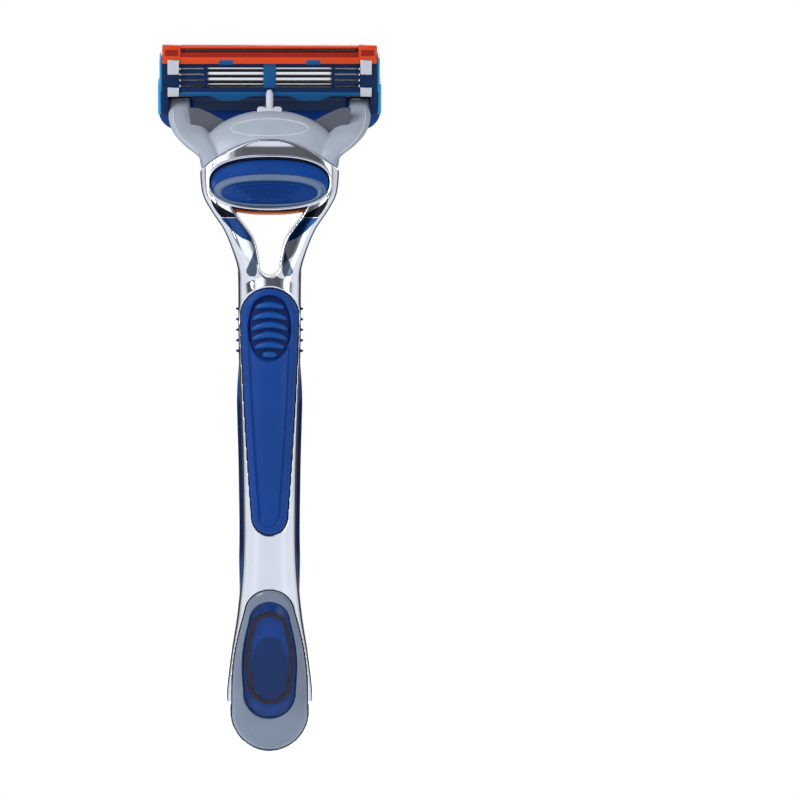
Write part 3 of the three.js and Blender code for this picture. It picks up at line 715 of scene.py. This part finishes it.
def thumb_inlay():
    def depth(x, z):
        edge = INLAY.inside(x, z)
        rim = 0.42 * step(edge, 0.35) - 0.30 * step(edge - 1.05, 0.35) * step(z + 58.2, 1.5)
        groove = 0.16 * step(edge - 1.3, 0.12) * step(1.75 - edge, 0.12) * step(-z - 22, 4)
        return 0.05 - rim + groove + 0.75 * step(PAD.inside(x, z) + 0.3, 0.3)

    piece = slab("thumb_inlay_rubber", INLAY, front(depth), front(0.95), 130, 320)
    place_piece(piece, "handle", "blue_elastomer", BLUE, "thumb_inlay")
    # Painted shade and highlight: the pad's floor is a darker navy and its ridges a lighter blue than the
    # inlay, for the shade in the grooves and the light on the ridges.
    place_piece(slab("thumb_pad_floor", PAD, front(0.62), front(0.95), 50, 90),
                "handle", "blue_elastomer", NAVY_AND_PAINTED_SHADE, "thumb_pad")
    ridges = []
    for k in range(6):
        crest = -16.75 - 1.87 * k
        reach = PAD.half_width(crest - 0.5) - 0.45
        points = []
        for x in np.linspace(-reach, reach, 25):
            z = crest - 0.085 * x * x
            points.append((x, skin_y(x, z, -1) + 0.5, z))
        ridges.append(tube("ridge", points, lambda t: 0.1 + 0.56 * math.sin(math.pi * t) ** 0.35, around=14))
    place_piece(merged("thumb_pad_ridges", ridges), "handle", "blue_elastomer", BLUE_RIDGE_HIGHLIGHT)


def badge():
    def bezel(x, z):
        edge, window = BADGE.inside(x, z), WINDOW.inside(x, z)
        return 0.12 - 0.30 * step(edge, 0.6) + 2.0 * step(window + 0.05, 0.2)

    place_piece(slab("badge_bezel_shell", BADGE, front(bezel), front(2.2), 110, 220),
                "handle", "bezel_grey", BEZEL, "badge_bezel")
    place_piece(slab("badge_floor", WINDOW.grown(-0.1), front(1.5), front(1.85), 30, 60),
                "handle", "backing_dark", BACKING, "badge_backing")
    place_piece(slab("badge_heart", HEART, front(1.42), front(1.6), 30, 60),
                "handle", "backing_dark", BACKING_DEEP)

    def ring(x, z):
        edge = RING.inside(x, z)
        return 1.55 - 0.75 * step(edge, 0.2) * step(0.85 - edge, 0.2)

    place_piece(slab("badge_ring_amber", RING, front(ring), front(1.6), 110, 200),
                "handle", "ring_brown", AMBER, "badge_ring")
    glass = WINDOW.grown(-0.06)

    def crown(x, z):
        return 0.35 - 0.6 * step(glass.inside(x, z), 2.2)

    place_piece(slab("badge_lens_clear", glass, front(crown), front(0.62), 70, 120),
                "handle", "lens_blue", LENS, "badge_lens")


def rear_grip():
    pitch = 2.66

    def height(x, z):
        edge = GRIP.inside(x, z)
        rise = 0.25 * step(edge, 0.8) - 0.05
        panel = PANEL.inside(x, z)
        middle = (z + 48) / 23
        bow = 0.055 * x * x * max(min(middle, 1), -1)
        phase = (z + 27.6 + bow) / pitch
        rib = 0.5 + 0.5 * math.cos(2 * math.pi * phase)
        sunk = step(panel, 0.5)
        rise += sunk * (-0.68 + 0.98 * rib**0.8)
        island = ISLAND.inside(x, z)
        return rise - 1.0 * step(island + 0.1, 0.25)

    def back(x, z):
        return skin_y(x, z, 1, 0.55) - 0.4 + height(x, z)

    piece = slab("rear_grip_ribbed", GripOutline(), back, lambda x, z: section(z)[2] + SPLIT + 0.03, 110, 620)
    place_piece(piece, "handle", "blue_elastomer", BLUE, "rear_grip")

    def pane(x, z):
        return skin_y(x, z, 1) - 0.28 + 0.3 * step(ISLAND.inside(x, z), 1.2)

    island = slab("rear_window_pane", ISLAND, pane, lambda x, z: skin_y(x, z, 1) - 1.2, 60, 110)
    place_piece(island, "handle", "carrier_grey", CARRIER, "rear_carrier")


class GripOutline:
    """The grip's outline where it is narrower than the handle, and the handle's own edge elsewhere."""

    def __init__(self):
        self.top, self.bottom = GRIP.top, GRIP.bottom

    def half_width(self, z):
        proud = -0.2 + 0.75 * step(-z - 24, 12) * step(z + 76, 12)
        return min(GRIP.half_width(z), section(z)[0] + proud)


def side_nubs():
    centre = section(-21.7)[2] - 0.65
    for side, word in ((1, "right"), (-1, "left")):
        parts = []
        for k in range(5):
            z = -17.7 - 2.0 * k
            points = [(side * (5.0 + 1.38 * t), centre, z) for t in np.linspace(0, 1, 12)]
            parts.append(tube("nub", points, lambda t: 0.3 * (1 - max(t - 0.6, 0) ** 2 * 4), around=18))
        place_piece(merged(f"side_nub_row_{word}", parts),
                    "handle", "blue_elastomer", NAVY_AND_PAINTED_SHADE, f"side_nubs_{word}")


def rear_plug():
    oval = Oval(5.62, 10.45, 4.5, 2.5)
    panel = Oval(5.75, 9.3, 3.3, 2.5)

    def face(x, z):
        return 3.6 + 0.55 * step(oval.inside(x, z), 0.5) - 0.28 * step(panel.inside(x, z) + 0.2, 0.4)

    piece = slab("rear_plug_moulded", oval, face, lambda x, z: 1.7, 110, 90, HEAD)
    place_piece(piece, "handle", "orange_plastic", ORANGE, "rear_plug")


# ---- button ----


def release_button():
    outer = Oval(5.1, 11.15, 4.7, 2.4)
    trim = Oval(3.62, 10.6, 3.25, 2.3)
    inner = Oval(3.2, 9.35, 2.3, 2.3)

    def face(x, z):
        dome = 0.9 * (1 - (x / 13) ** 2) * step(outer.inside(x, z), 1.6)
        lower = -1.0 * step(7.6 - z, 3.0)
        y = RING_FRONT + 1.15 - 0.25 * step(outer.inside(x, z), 0.5) - dome * 0.55 + lower * 0.55
        return y + 0.35 * step(trim.inside(x, z) + 0.05, 0.15)

    body = slab("button_shell", outer, face, lambda x, z: -1.6, 130, 110, HEAD)
    place_piece(body, "button", "blue_elastomer", BLUE, "release_button")

    def band(x, z):
        return face(x, z) - 0.42 * step(trim.inside(x, z), 0.25) + 0.5 * step(inner.inside(x, z) + 0.1, 0.2)

    ring = slab("button_trim_ring", trim, band, lambda x, z: -2.5, 130, 90, HEAD)
    place_piece(ring, "button", "trim_grey", TRIM, "button_trim")

    def pad(x, z):
        wave = 0.0
        for k in range(4):
            centre = 4.75 - k * 0.95 - 0.012 * x * x
            reach = step(7.4 - 1.0 * k - abs(x), 1.4)
            wave = max(wave, reach * math.exp(-((z - centre) / 0.26) ** 2))
        return face(x, z) - 0.22 * step(inner.inside(x, z), 0.6) - 0.4 * wave

    place_piece(slab("button_pad_ridged", inner, pad, lambda x, z: -2.6, 120, 110, HEAD),
                "button", "blue_elastomer", BLUE_DEEP)


# ---- yoke ----

DOME = (13.3, 5.5, 9.2)
DOME_Z = 11.5


def dome_point(u, v):
    """A point of the dome from its angle round the height axis and its angle up."""
    level = math.cos(v)
    return (DOME[0] * level * math.cos(u), DOME[1] * level * math.sin(u), DOME_Z + DOME[2] * math.sin(v))


def hermite_row(table, z):
    return (z, *hermite(table, z))


def panel_point(row, side, low):
    """A point a millimetre in from the arm's outer edge, on its thumb side."""
    z, inner, outer, depth, ahead = row
    half = (outer - inner) / 2
    share = (half - 1.0) / half
    return (side * (outer - 1.0), low + ahead - depth * (1 - share**3.2) ** (1 / 3.2) + 0.03, z)


def yoke():
    rings = []
    for i in range(1, 90):
        v = -math.pi / 2 + math.pi * i / 90
        rings.append([dome_point(2 * math.pi * j / 128, v) for j in range(128)])
    whole = stacked("yoke_shell", rings, HEAD)
    arm = np.array([
        (7.0, 9.0, 12.9, 4.4, 0.0),
        (10.6, 9.0, 13.4, 4.2, 0.0),
        (12.8, 9.8, 16.1, 3.9, 0.4),
        (14.9, 11.2, 18.1, 3.2, 1.9),
        (17.0, 12.9, 19.1, 2.4, 4.3),
        (18.7, 14.7, 19.3, 1.9, 6.0),
        (20.3, 15.2, 19.2, 1.45, 7.7),
        (21.5, 15.2, 19.1, 1.15, 8.5),
    ])
    low = section(10)[2] - 0.5
    heights = [hermite_row(arm, z) for z in np.linspace(11.5, 19.8, 40)]
    edges = []
    for side in (1, -1):
        rings = []
        for i in range(91):
            z = 7 + 14.4 * i / 90
            inner, outer, depth, ahead = hermite(arm, z)
            centre = low + ahead
            x0, half = (inner + outer) / 2, (outer - inner) / 2
            cap = math.sqrt(max(1 - max((z - 20.4) / 1.05, 0) ** 2, 0.01))
            ring = [(side * x0 + half * x, centre + depth * cap * v, z) for x, v in superellipse(48, 3.2)]
            rings.append(ring)
        combine(whole, "UNION", stacked("arm", rings))
        # Painted highlight: a pale grey line along each arm's panel edge.
        edges.append(tube("arm_line", [panel_point(row, side, low) for row in heights], 0.14, around=8))
        web = [(15.5, 19.9), (13.6, 19.9), (11.4, 19.0), (8.4, 17.4), (8.0, 14.0), (13.0, 12.4), (14.8, 15.4)]
        gusset = plate("gusset", [(side * x, z) for x, z in web], 6.5, 8.0, 0.15)
        place_piece(gusset, "yoke", "yoke_grey", GREY_DARK)
    seat = rounded_box("seat", (-2.5, -1.75, 19.1), (2.5, 0.95, 30), 0.02, HEAD, 1)
    combine(whole, "DIFFERENCE", joint_solid("below_joint", False, 0.09), seat)
    soften(whole, 0.17, 7)
    # Painted highlight: a pale grey line round the dome's panel.
    line = []
    for i in range(120):
        a = 2 * math.pi * i / 120
        x, z = 7.4 * math.cos(a), 16.2 + 1.85 * math.sin(a)
        rest = 1 - (x / DOME[0]) ** 2 - ((z - DOME_Z) / DOME[2]) ** 2
        line.append((x, -DOME[1] * math.sqrt(max(rest, 0)) + 0.02, z))
    outline = tube("dome_line", line, 0.15, HEAD, 8, closed=True)
    place_piece(whole, "yoke", "yoke_grey", GREY, "yoke")
    place_piece(merged("yoke_lines", [outline, *edges]), "yoke", "yoke_grey", PALE_GREY_AND_HIGHLIGHT)


def plunger_parts():
    y = -0.4
    tip = [(0, y, z) for z in np.linspace(13.6, 24.6, 40)]
    stem = tube("stem", tip, lambda t: 0.7 - 0.25 * max(t - 0.93, 0) / 0.07, HEAD, 28)
    foot = tube("foot", [(0, 0, z) for z in (13.4, 13.45, 14.15, 14.2)], 1.1, HEAD, 28)
    place_piece(merged("plunger_stem", [stem, foot]), "plunger", "guide_grey", PALE_GREY_AND_HIGHLIGHT, "plunger")
    parts = [rounded_box("collar", (-2.4, y - 1.25, 19.15), (2.4, y + 1.25, 20.85), 0.25, HEAD)]
    for side in (1, -1):
        low, high = sorted((side * 0.85, side * 2.2))
        parts.append(rounded_box("cheek", (low, y - 0.9, 20.6), (high, y + 0.9, 21.2), 0.22, HEAD))
    place_piece(merged("plunger_collar", parts), "yoke", "guide_grey", PALE_GREY_AND_HIGHLIGHT, "plunger_guide")


# ---- cartridge, in its own tilted frame: y is the depth towards the skin, z is up the blade stack ----

BLADE_HALF = 17.0
BLADE_TOP = 7.24
BLADE_PITCH = 1.13
BLADE_LEAN = math.radians(56)
SHANK_DEPTH = 3.0
SHANK_LEAN = math.radians(16.5)  # the supports' shanks point at the eye of someone who looks along the stack
STRAP = (17.25, 19.45)


def across(side, low, high):
    return (low, high) if side > 0 else (-high, -low)


def box_at(name, side, x, y, z, bevel):
    low, high = across(side, *x)
    return rounded_box(name, (low, y[0], z[0]), (high, y[1], z[1]), bevel, CARTRIDGE)


def wavy_bar():
    top = [(x, 3.3) for x in (-17.3, 17.3)]
    lower = []
    for x in np.linspace(17.3, -17.3, 121):
        lobe = step(1 - abs(abs(x) - 7.6) / 4.4, 0.75)
        lower.append((x, 2.5 - 0.95 * lobe))
    return plate("wavy_bar", top + lower, -3.62, -2.75, 0.22, CARTRIDGE)


def housing():
    parts, trim = [], [wavy_bar()]
    for side in (1, -1):
        parts.append(box_at("end", side, (17.2, 20.5), (-3.5, 2.62), (2.6, 9.4), 0.25))
        parts.append(box_at("wall", side, (19.2, 20.5), (-3.5, 1.45), (-1.2, 3.0), 0.25))
        trim.append(box_at("tab", side, (6.9, 9.7), (-4.02, -3.4), (8.75, 9.75), 0.18))
        parts.append(box_at("jamb", side, (11.9, 12.5), (-2.75, -2.3), (3.9, 8.3), 0.08))
        for k in range(5):
            z = BLADE_TOP - k * BLADE_PITCH
            parts.append(box_at("slat", side, (12.2, 17.3), (-2.8, -2.35), (z - 0.42, z + 0.22), 0.1))
            parts.append(box_at("comb", side, (12.0, 17.1), (0.4, 1.35), (z - 0.36, z + 0.3), 0.06))
    bar = [(2.2, 7.85), (2.2, 9.7), (0.8, 9.6), (-2.7, 10.25), (-2.7, 7.85)]
    parts.append(sectioned("top_bar", bar, 20, 0.15, CARTRIDGE))
    floor = [(-3.3, 2.0), (-3.3, 3.2), (-2.75, 3.2), (-2.75, 1.8), (2.6, 1.8), (2.6, 1.25), (1.5, 1.25),
             (1.5, -1.1), (-0.4, -1.1), (-1.2, 1.0)]
    parts.append(sectioned("floor", floor, 14.6, 0.1, CARTRIDGE))
    trim.append(rounded_box("rib", (-1.2, -3.45, 4.0), (1.2, -2.75, 9.4), 0.2, CARTRIDGE))
    parts.append(rounded_box("sill", (-17.3, -3.3, 2.6), (17.3, -2.75, 4.05), 0.1, CARTRIDGE))
    parts.append(rounded_box("comb_middle", (-1.15, 0.3, 1.8), (1.15, 1.2, 7.9), 0.1, CARTRIDGE))
    place_piece(merged("cartridge_body", parts), "cartridge", "blue_plastic", BLUE_DARK, "cartridge_housing")
    place_piece(merged("cartridge_back_trim", trim), "cartridge", "blue_plastic", BLUE_MID)


def rounded_skirt(half, top, bottom, radius):
    """A plate outline with rounded lower corners."""
    right = [(half - radius + radius * math.sin(a), bottom + radius - radius * math.cos(a))
             for a in np.linspace(0, math.pi / 2, 10)]
    return [(-half, top)] + [(-x, z) for x, z in reversed(right)] + right + [(half, top)]


def skirt():
    sweep = plate("skirt_plate", rounded_skirt(21.25, 1.1, -5.4, 4.0), 0.62, 1.95, 0.55, CARTRIDGE, 5)
    sides = [rounded_box("ledge", (-19.9, 2.0, 1.0), (19.9, 2.95, 1.75), 0.25, CARTRIDGE)]
    for side in (1, -1):
        sides.append(box_at("cheek_high", side, (20.4, 21.0), (-2.5, 2.35), (3.0, 9.7), 0.28))
        sides.append(box_at("cheek", side, (20.55, 21.3), (-2.5, 2.35), (-1.4, 4.6), 0.3))
        sides.append(box_at("ledge_end", side, (19.5, 20.9), (1.6, 2.75), (0.8, 9.6), 0.3))
    place_piece(sweep, "cartridge", "skirt_blue", SKIRT, "skirt")
    place_piece(merged("skirt_sides", sides), "cartridge", "skirt_blue", SKY)
    dimple = tube("dimple", [(0, 1.6 + 0.4 * t, -4.55) for t in (0, 0.3, 0.7, 1)], 0.42, CARTRIDGE, 20)
    place_piece(dimple, "cartridge", "skirt_blue", BLUE_DARK)


def guard():
    backing = plate("guard_plate", rounded_skirt(19.75, 1.0, -3.95, 2.9), 1.7, 2.35, 0.12, CARTRIDGE)
    parts = [backing]
    count = 15
    for k in range(count):
        z = 0.62 - k * 0.3
        room = 19.3 - max(0.0, -1.1 - z) ** 2 * 0.33
        points = [(x, 2.35, z) for x in np.linspace(-room, room, 8)]
        parts.append(tube("fin", points, 0.13, CARTRIDGE, 8, flat=2.2))
    place_piece(merged("guard_finned", parts), "cartridge", "guard_blue", GUARD, "guard_fins")


def clip(side, word):
    low, high = across(side, *STRAP)
    strap = rounded_box("strap", (low, 2.7, 1.15), (high, 3.02, 9.4), 0.12, CARTRIDGE)
    parts = [strap]
    for low_z, high_z, back in ((2.45, 4.3, -3.86), (6.85, 9.75, -4.14)):
        parts.append(rounded_box("tab", (low, back, low_z), (high, -3.56, high_z), 0.14, CARTRIDGE))
    for z in (2.75, 9.1):
        parts.append(rounded_box("leg", (low, -3.86, z), (high, 2.95, z + 0.3), 0.12, CARTRIDGE))
    place_piece(merged(f"clip_{word}_folded", parts), "cartridge", "clip_metal", CLIP, f"clip_{word}")


def trimmer():
    hood = [(2.4, 9.85), (2.4, 10.5), (-2.6, 12.4), (-3.7, 12.3), (-3.75, 12.0), (-2.95, 11.85),
            (-2.95, 11.15), (-3.45, 11.05), (-3.45, 10.35), (-3.95, 10.2), (-3.95, 8.95), (-2.85, 8.95),
            (-2.85, 10.4), (0.9, 9.8)]
    full = [(2.45, 9.8), (2.45, 10.55), (-2.6, 12.45), (-3.5, 12.4), (-3.9, 12.0), (-3.95, 8.9), (-2.85, 8.9),
            (-2.85, 10.4), (0.9, 9.8)]
    parts = [sectioned("hood", hood, 16.95, 0.07, CARTRIDGE)]
    # Painted shade: the hood's concave band and the end insets take the deeper red, for the shade on their
    # downward faces.
    band = [(-3.4, 10.33), (-3.72, 10.3), (-3.66, 11.1), (-3.4, 11.15)]
    shade_bands = [sectioned("band", band, 16.85, 0.06, CARTRIDGE)]
    for side in (1, -1):
        parts.append(sectioned("shoulder", full, 0, 0.3, CARTRIDGE, ends=across(side, 16.9, 20.45)))
        parts.append(box_at("lug", side, (16.6, 19.8), (2.25, 3.05), (9.45, 10.45), 0.22))
        shade_bands.append(box_at("inset", side, (17.4, 19.9), (-4.0, -3.8), (10.5, 11.7), 0.08))
    place_piece(merged("trimmer_shell", parts), "cartridge", "trimmer_orange", TRIMMER, "trimmer_housing")
    place_piece(merged("trimmer_bands", shade_bands), "cartridge", "trimmer_orange", TRIMMER_SHADE_RED)
    # Painted shade: the comb's teeth are darkened steel, for the dark groove they sit in.
    teeth = [rounded_box("edge", (-16.8, -3.3, 11.2), (16.8, -2.96, 11.6), 0.05, CARTRIDGE, 1)]
    for k in range(34):
        x = -16.5 + k
        low, high = (x - 0.22, -3.62, 11.3), (x + 0.22, -3.2, 11.52)
        teeth.append(rounded_box("tooth", low, high, 0.07, CARTRIDGE, 1))
    place_piece(merged("trimmer_comb", teeth), "cartridge", "blade_steel", STEEL_SHADE, "trimmer_blade")


def lube_strip():
    points = [(2.25, 7.98), (2.9, 7.95), (3.1, 8.1), (3.22, 8.9), (3.1, 9.62), (2.9, 9.78), (2.25, 9.78)]
    piece = sectioned("comfort_strip", points, 16.25, 0.12, CARTRIDGE)
    place_piece(piece, "cartridge", "strip_green", STRIP, "lube_strip")


def blades():
    """Each blade is a ground strip on its bent support, whose turned heel shows as a bright line; the support
    is steel darkened as painted shade.
    """
    cos, sin = math.cos(BLADE_LEAN), math.sin(BLADE_LEAN)
    for k in range(5):
        body = f"blade_{k + 1}"
        z = BLADE_TOP - k * BLADE_PITCH

        def along(run, up):
            """A point of the section, from its place along the blade and above it."""
            return 2.42 + run * cos - up * sin, z + 0.02 + run * sin + up * cos

        ground = [along(-0.46, -0.05), along(0.3, -0.05), along(0.5, 0.03), along(0.5, 0.045),
                  along(-0.46, 0.05)]
        edge = crisp(sectioned("edge", ground, BLADE_HALF, 0, CARTRIDGE))
        dots = []
        for i in range(11):
            spot = [(-14.8 + 2.96 * i, *along(-0.2, -0.04 - 0.03 * t)) for t in (0, 0.5, 1)]
            dots.append(tube("weld", spot, lambda t: 0.15 * (1 - 0.4 * t), CARTRIDGE, 12))
        place_piece(merged(f"{body}_ground", [edge, *dots]), body, "blade_steel", STEEL, f"blade_{k + 1}")
        rise = SHANK_DEPTH * math.tan(SHANK_LEAN)
        foot = (1.75, z - 0.42)
        heel = (foot[0] - SHANK_DEPTH, foot[1] + rise)
        tip = along(0.05, 0.2)
        bend = [(heel[0], heel[1] - 0.17), (foot[0] + 0.04, foot[1] - 0.17),
                along(-0.42, 0.07), along(0.05, 0.07)]
        # Painted shade: the support is darkened steel, so only the heel reads bright.
        shank = sectioned(f"{body}_bent", [*bend, tip, foot, heel], BLADE_HALF - 0.1, 0.03, CARTRIDGE, 2)
        place_piece(shank, body, "blade_steel", STEEL_SHADE, f"blade_support_{k + 1}")
        low, high = heel[1] - 0.42, heel[1] + 0.14
        turned = [(heel[0] + dy, z) for dy, z in ((-0.04, low), (0.22, low), (0.22, high), (-0.04, high))]
        strip = sectioned(f"{body}_heel", turned, BLADE_HALF - 0.1, 0.05, CARTRIDGE)
        place_piece(strip, body, "blade_steel", STEEL)


def hidden_parts():
    """Pieces that keep their CAD shape and get a real finish."""
    finishes = {
        "core_weight": STEEL, "docking_nose": BLUE_DARK, "ejector_slide": ORANGE,
        "ejector_spring": WIRE, "plunger_spring": WIRE,
    }
    for node, material in finishes.items():
        for slot in bpy.data.objects[node].material_slots:
            slot.material = material


# ---- stage ----


# The studio's brightness by direction. Walls go round the horizon from behind the razor, past its left side,
# its thumb side and its right side, to behind again; flags hang in front of them from a low height upwards.
WALL_STOPS = (
    (0.0, 0.62), (0.02, 0.6), (0.035, 0.07), (0.125, 0.04), (0.155, 0.5), (0.22, 0.74), (0.33, 0.74),
    (0.40, 0.8), (0.44, 0.72), (0.5, 0.7), (0.56, 0.72), (0.60, 0.8), (0.67, 0.74), (0.78, 0.74),
    (0.845, 0.5), (0.875, 0.04), (0.965, 0.07), (0.98, 0.6), (1.0, 0.62),
)
FLAG_STOPS = ((0.0, 0.7), (0.25, 0.6), (0.33, 0.07), (0.40, 0.08), (0.43, 1.0), (0.475, 1.0), (0.495, 0.10),
              (0.54, 0.08), (0.58, 0.3), (0.63, 0.07), (0.72, 0.6), (1.0, 0.7))
FLAG_BAND = ((0.0, 0.0), (0.545, 0.0), (0.58, 1.0), (1.0, 1.0))
STUDIO_TINT = (0.99, 1.0, 1.03)


def world():
    """A white studio whose soft boxes and dark flags are seen only in reflections."""
    made = bpy.data.worlds.new("studio")
    bpy.context.scene.world = made
    made.use_nodes = True
    tree = made.node_tree
    tree.nodes.clear()
    link = tree.links.new
    place = tree.nodes.new("ShaderNodeTexCoord").outputs["Generated"]
    split = tree.nodes.new("ShaderNodeSeparateXYZ")
    link(place, split.inputs[0])

    def maths(operation, a, b=None):
        node = tree.nodes.new("ShaderNodeMath")
        node.operation = operation
        for socket, value in zip(node.inputs, (a, b)):
            if value is None:
                continue
            if isinstance(value, (int, float)):
                socket.default_value = value
            else:
                link(value, socket)
        return node.outputs[0]

    def ramp(value, stops):
        node = tree.nodes.new("ShaderNodeValToRGB")
        node.color_ramp.interpolation = "EASE"
        elements = node.color_ramp.elements
        for position, _ in stops[1:-1]:
            elements.new(position)
        for element, (_, level) in zip(elements, stops):
            element.color = (*(level * tint for tint in STUDIO_TINT), 1)
        link(value, node.inputs[0])
        return node.outputs[0]

    def blend(factor, a, b):
        node = tree.nodes.new("ShaderNodeMix")
        node.data_type = "RGBA"
        link(factor, node.inputs[0])
        link(a, node.inputs[6])
        link(b, node.inputs[7])
        return node.outputs[2]

    angle = maths("ARCTAN2", split.outputs[0], maths("MULTIPLY", split.outputs[1], -1.0))
    round_about = maths("ADD", maths("DIVIDE", angle, 2 * math.pi), 0.5)
    up = maths("ADD", maths("MULTIPLY", split.outputs[2], 0.5), 0.5)
    walls = ramp(round_about, WALL_STOPS)
    flags = ramp(round_about, FLAG_STOPS)
    sky = blend(ramp(up, FLAG_BAND), walls, flags)
    studio = tree.nodes.new("ShaderNodeBackground")
    studio.inputs[1].default_value = 1.22
    link(sky, studio.inputs[0])
    white = tree.nodes.new("ShaderNodeBackground")
    white.inputs[0].default_value = (1, 1, 1, 1)
    choose = tree.nodes.new("ShaderNodeMixShader")
    link(tree.nodes.new("ShaderNodeLightPath").outputs["Is Camera Ray"], choose.inputs[0])
    link(studio.outputs[0], choose.inputs[1])
    link(white.outputs[0], choose.inputs[2])
    link(choose.outputs[0], tree.nodes.new("ShaderNodeOutputWorld").inputs[0])


def lamp(name, position, target, size, watts):
    data = bpy.data.lights.new(name, "AREA")
    data.shape = "RECTANGLE"
    data.size, data.size_y = size
    data.energy = watts
    light = bpy.data.objects.new(name, data)
    bpy.context.scene.collection.objects.link(light)
    light.location = position
    light.rotation_euler = (Vector(target) - Vector(position)).to_track_quat("-Z", "Y").to_euler()


def stage():
    low = CAD_BOX[0][2]
    floor = make("floor", [(x, y, low / MM - 0.3) for x, y in ((-70, -14), (70, -14), (70, 200), (-70, 200))],
                 [(0, 1, 2, 3)], smooth=False)
    paint = Finish("pale_floor", (0.93, 0.93, 0.93, 1), 0.7,
                   Emission_Color=(1, 1, 1, 1), Emission_Strength=0.5)
    paint = paint.mottle(3, 0.01).material
    floor.data.materials.append(paint)
    world()
    lamp("key", (-0.75, -0.62, 0.55), (0, 0, -0.02), (0.5, 0.7), 8.5)
    lamp("fill", (0.6, -0.7, 0.2), (0, 0, -0.02), (0.4, 0.8), 1.6)
    lamp("back", (0.3, 0.9, 0.5), (0, 0, -0.02), (0.6, 0.6), 3.5)


FRAME_WIDTH = 0.152
FRAME_MIDDLE = -0.0353
EYE_ELEVATION = 4.5


def camera():
    data = bpy.data.cameras.new("camera")
    data.sensor_width = 36
    data.lens = 400
    distance = FRAME_WIDTH * data.lens / data.sensor_width
    view = bpy.data.objects.new("camera", data)
    bpy.context.scene.collection.objects.link(view)
    tilt = math.radians(EYE_ELEVATION)
    view.location = (0, -distance * math.cos(tilt), FRAME_MIDDLE + distance * math.sin(tilt))
    view.rotation_euler = (math.pi / 2 - tilt, 0, 0)
    data.shift_x = 0.163
    data.clip_start = 0.01
    bpy.context.scene.camera = view
    bpy.context.scene.view_settings.view_transform = "Standard"


camera()
chrome_frame()
flanks()
thumb_inlay()
badge()
rear_grip()
side_nubs()
rear_plug()
release_button()
yoke()
plunger_parts()
housing()
skirt()
guard()
for clip_side, clip_word in ((1, "right"), (-1, "left")):
    clip(clip_side, clip_word)
trimmer()
lube_strip()
blades()
hidden_parts()
stage()
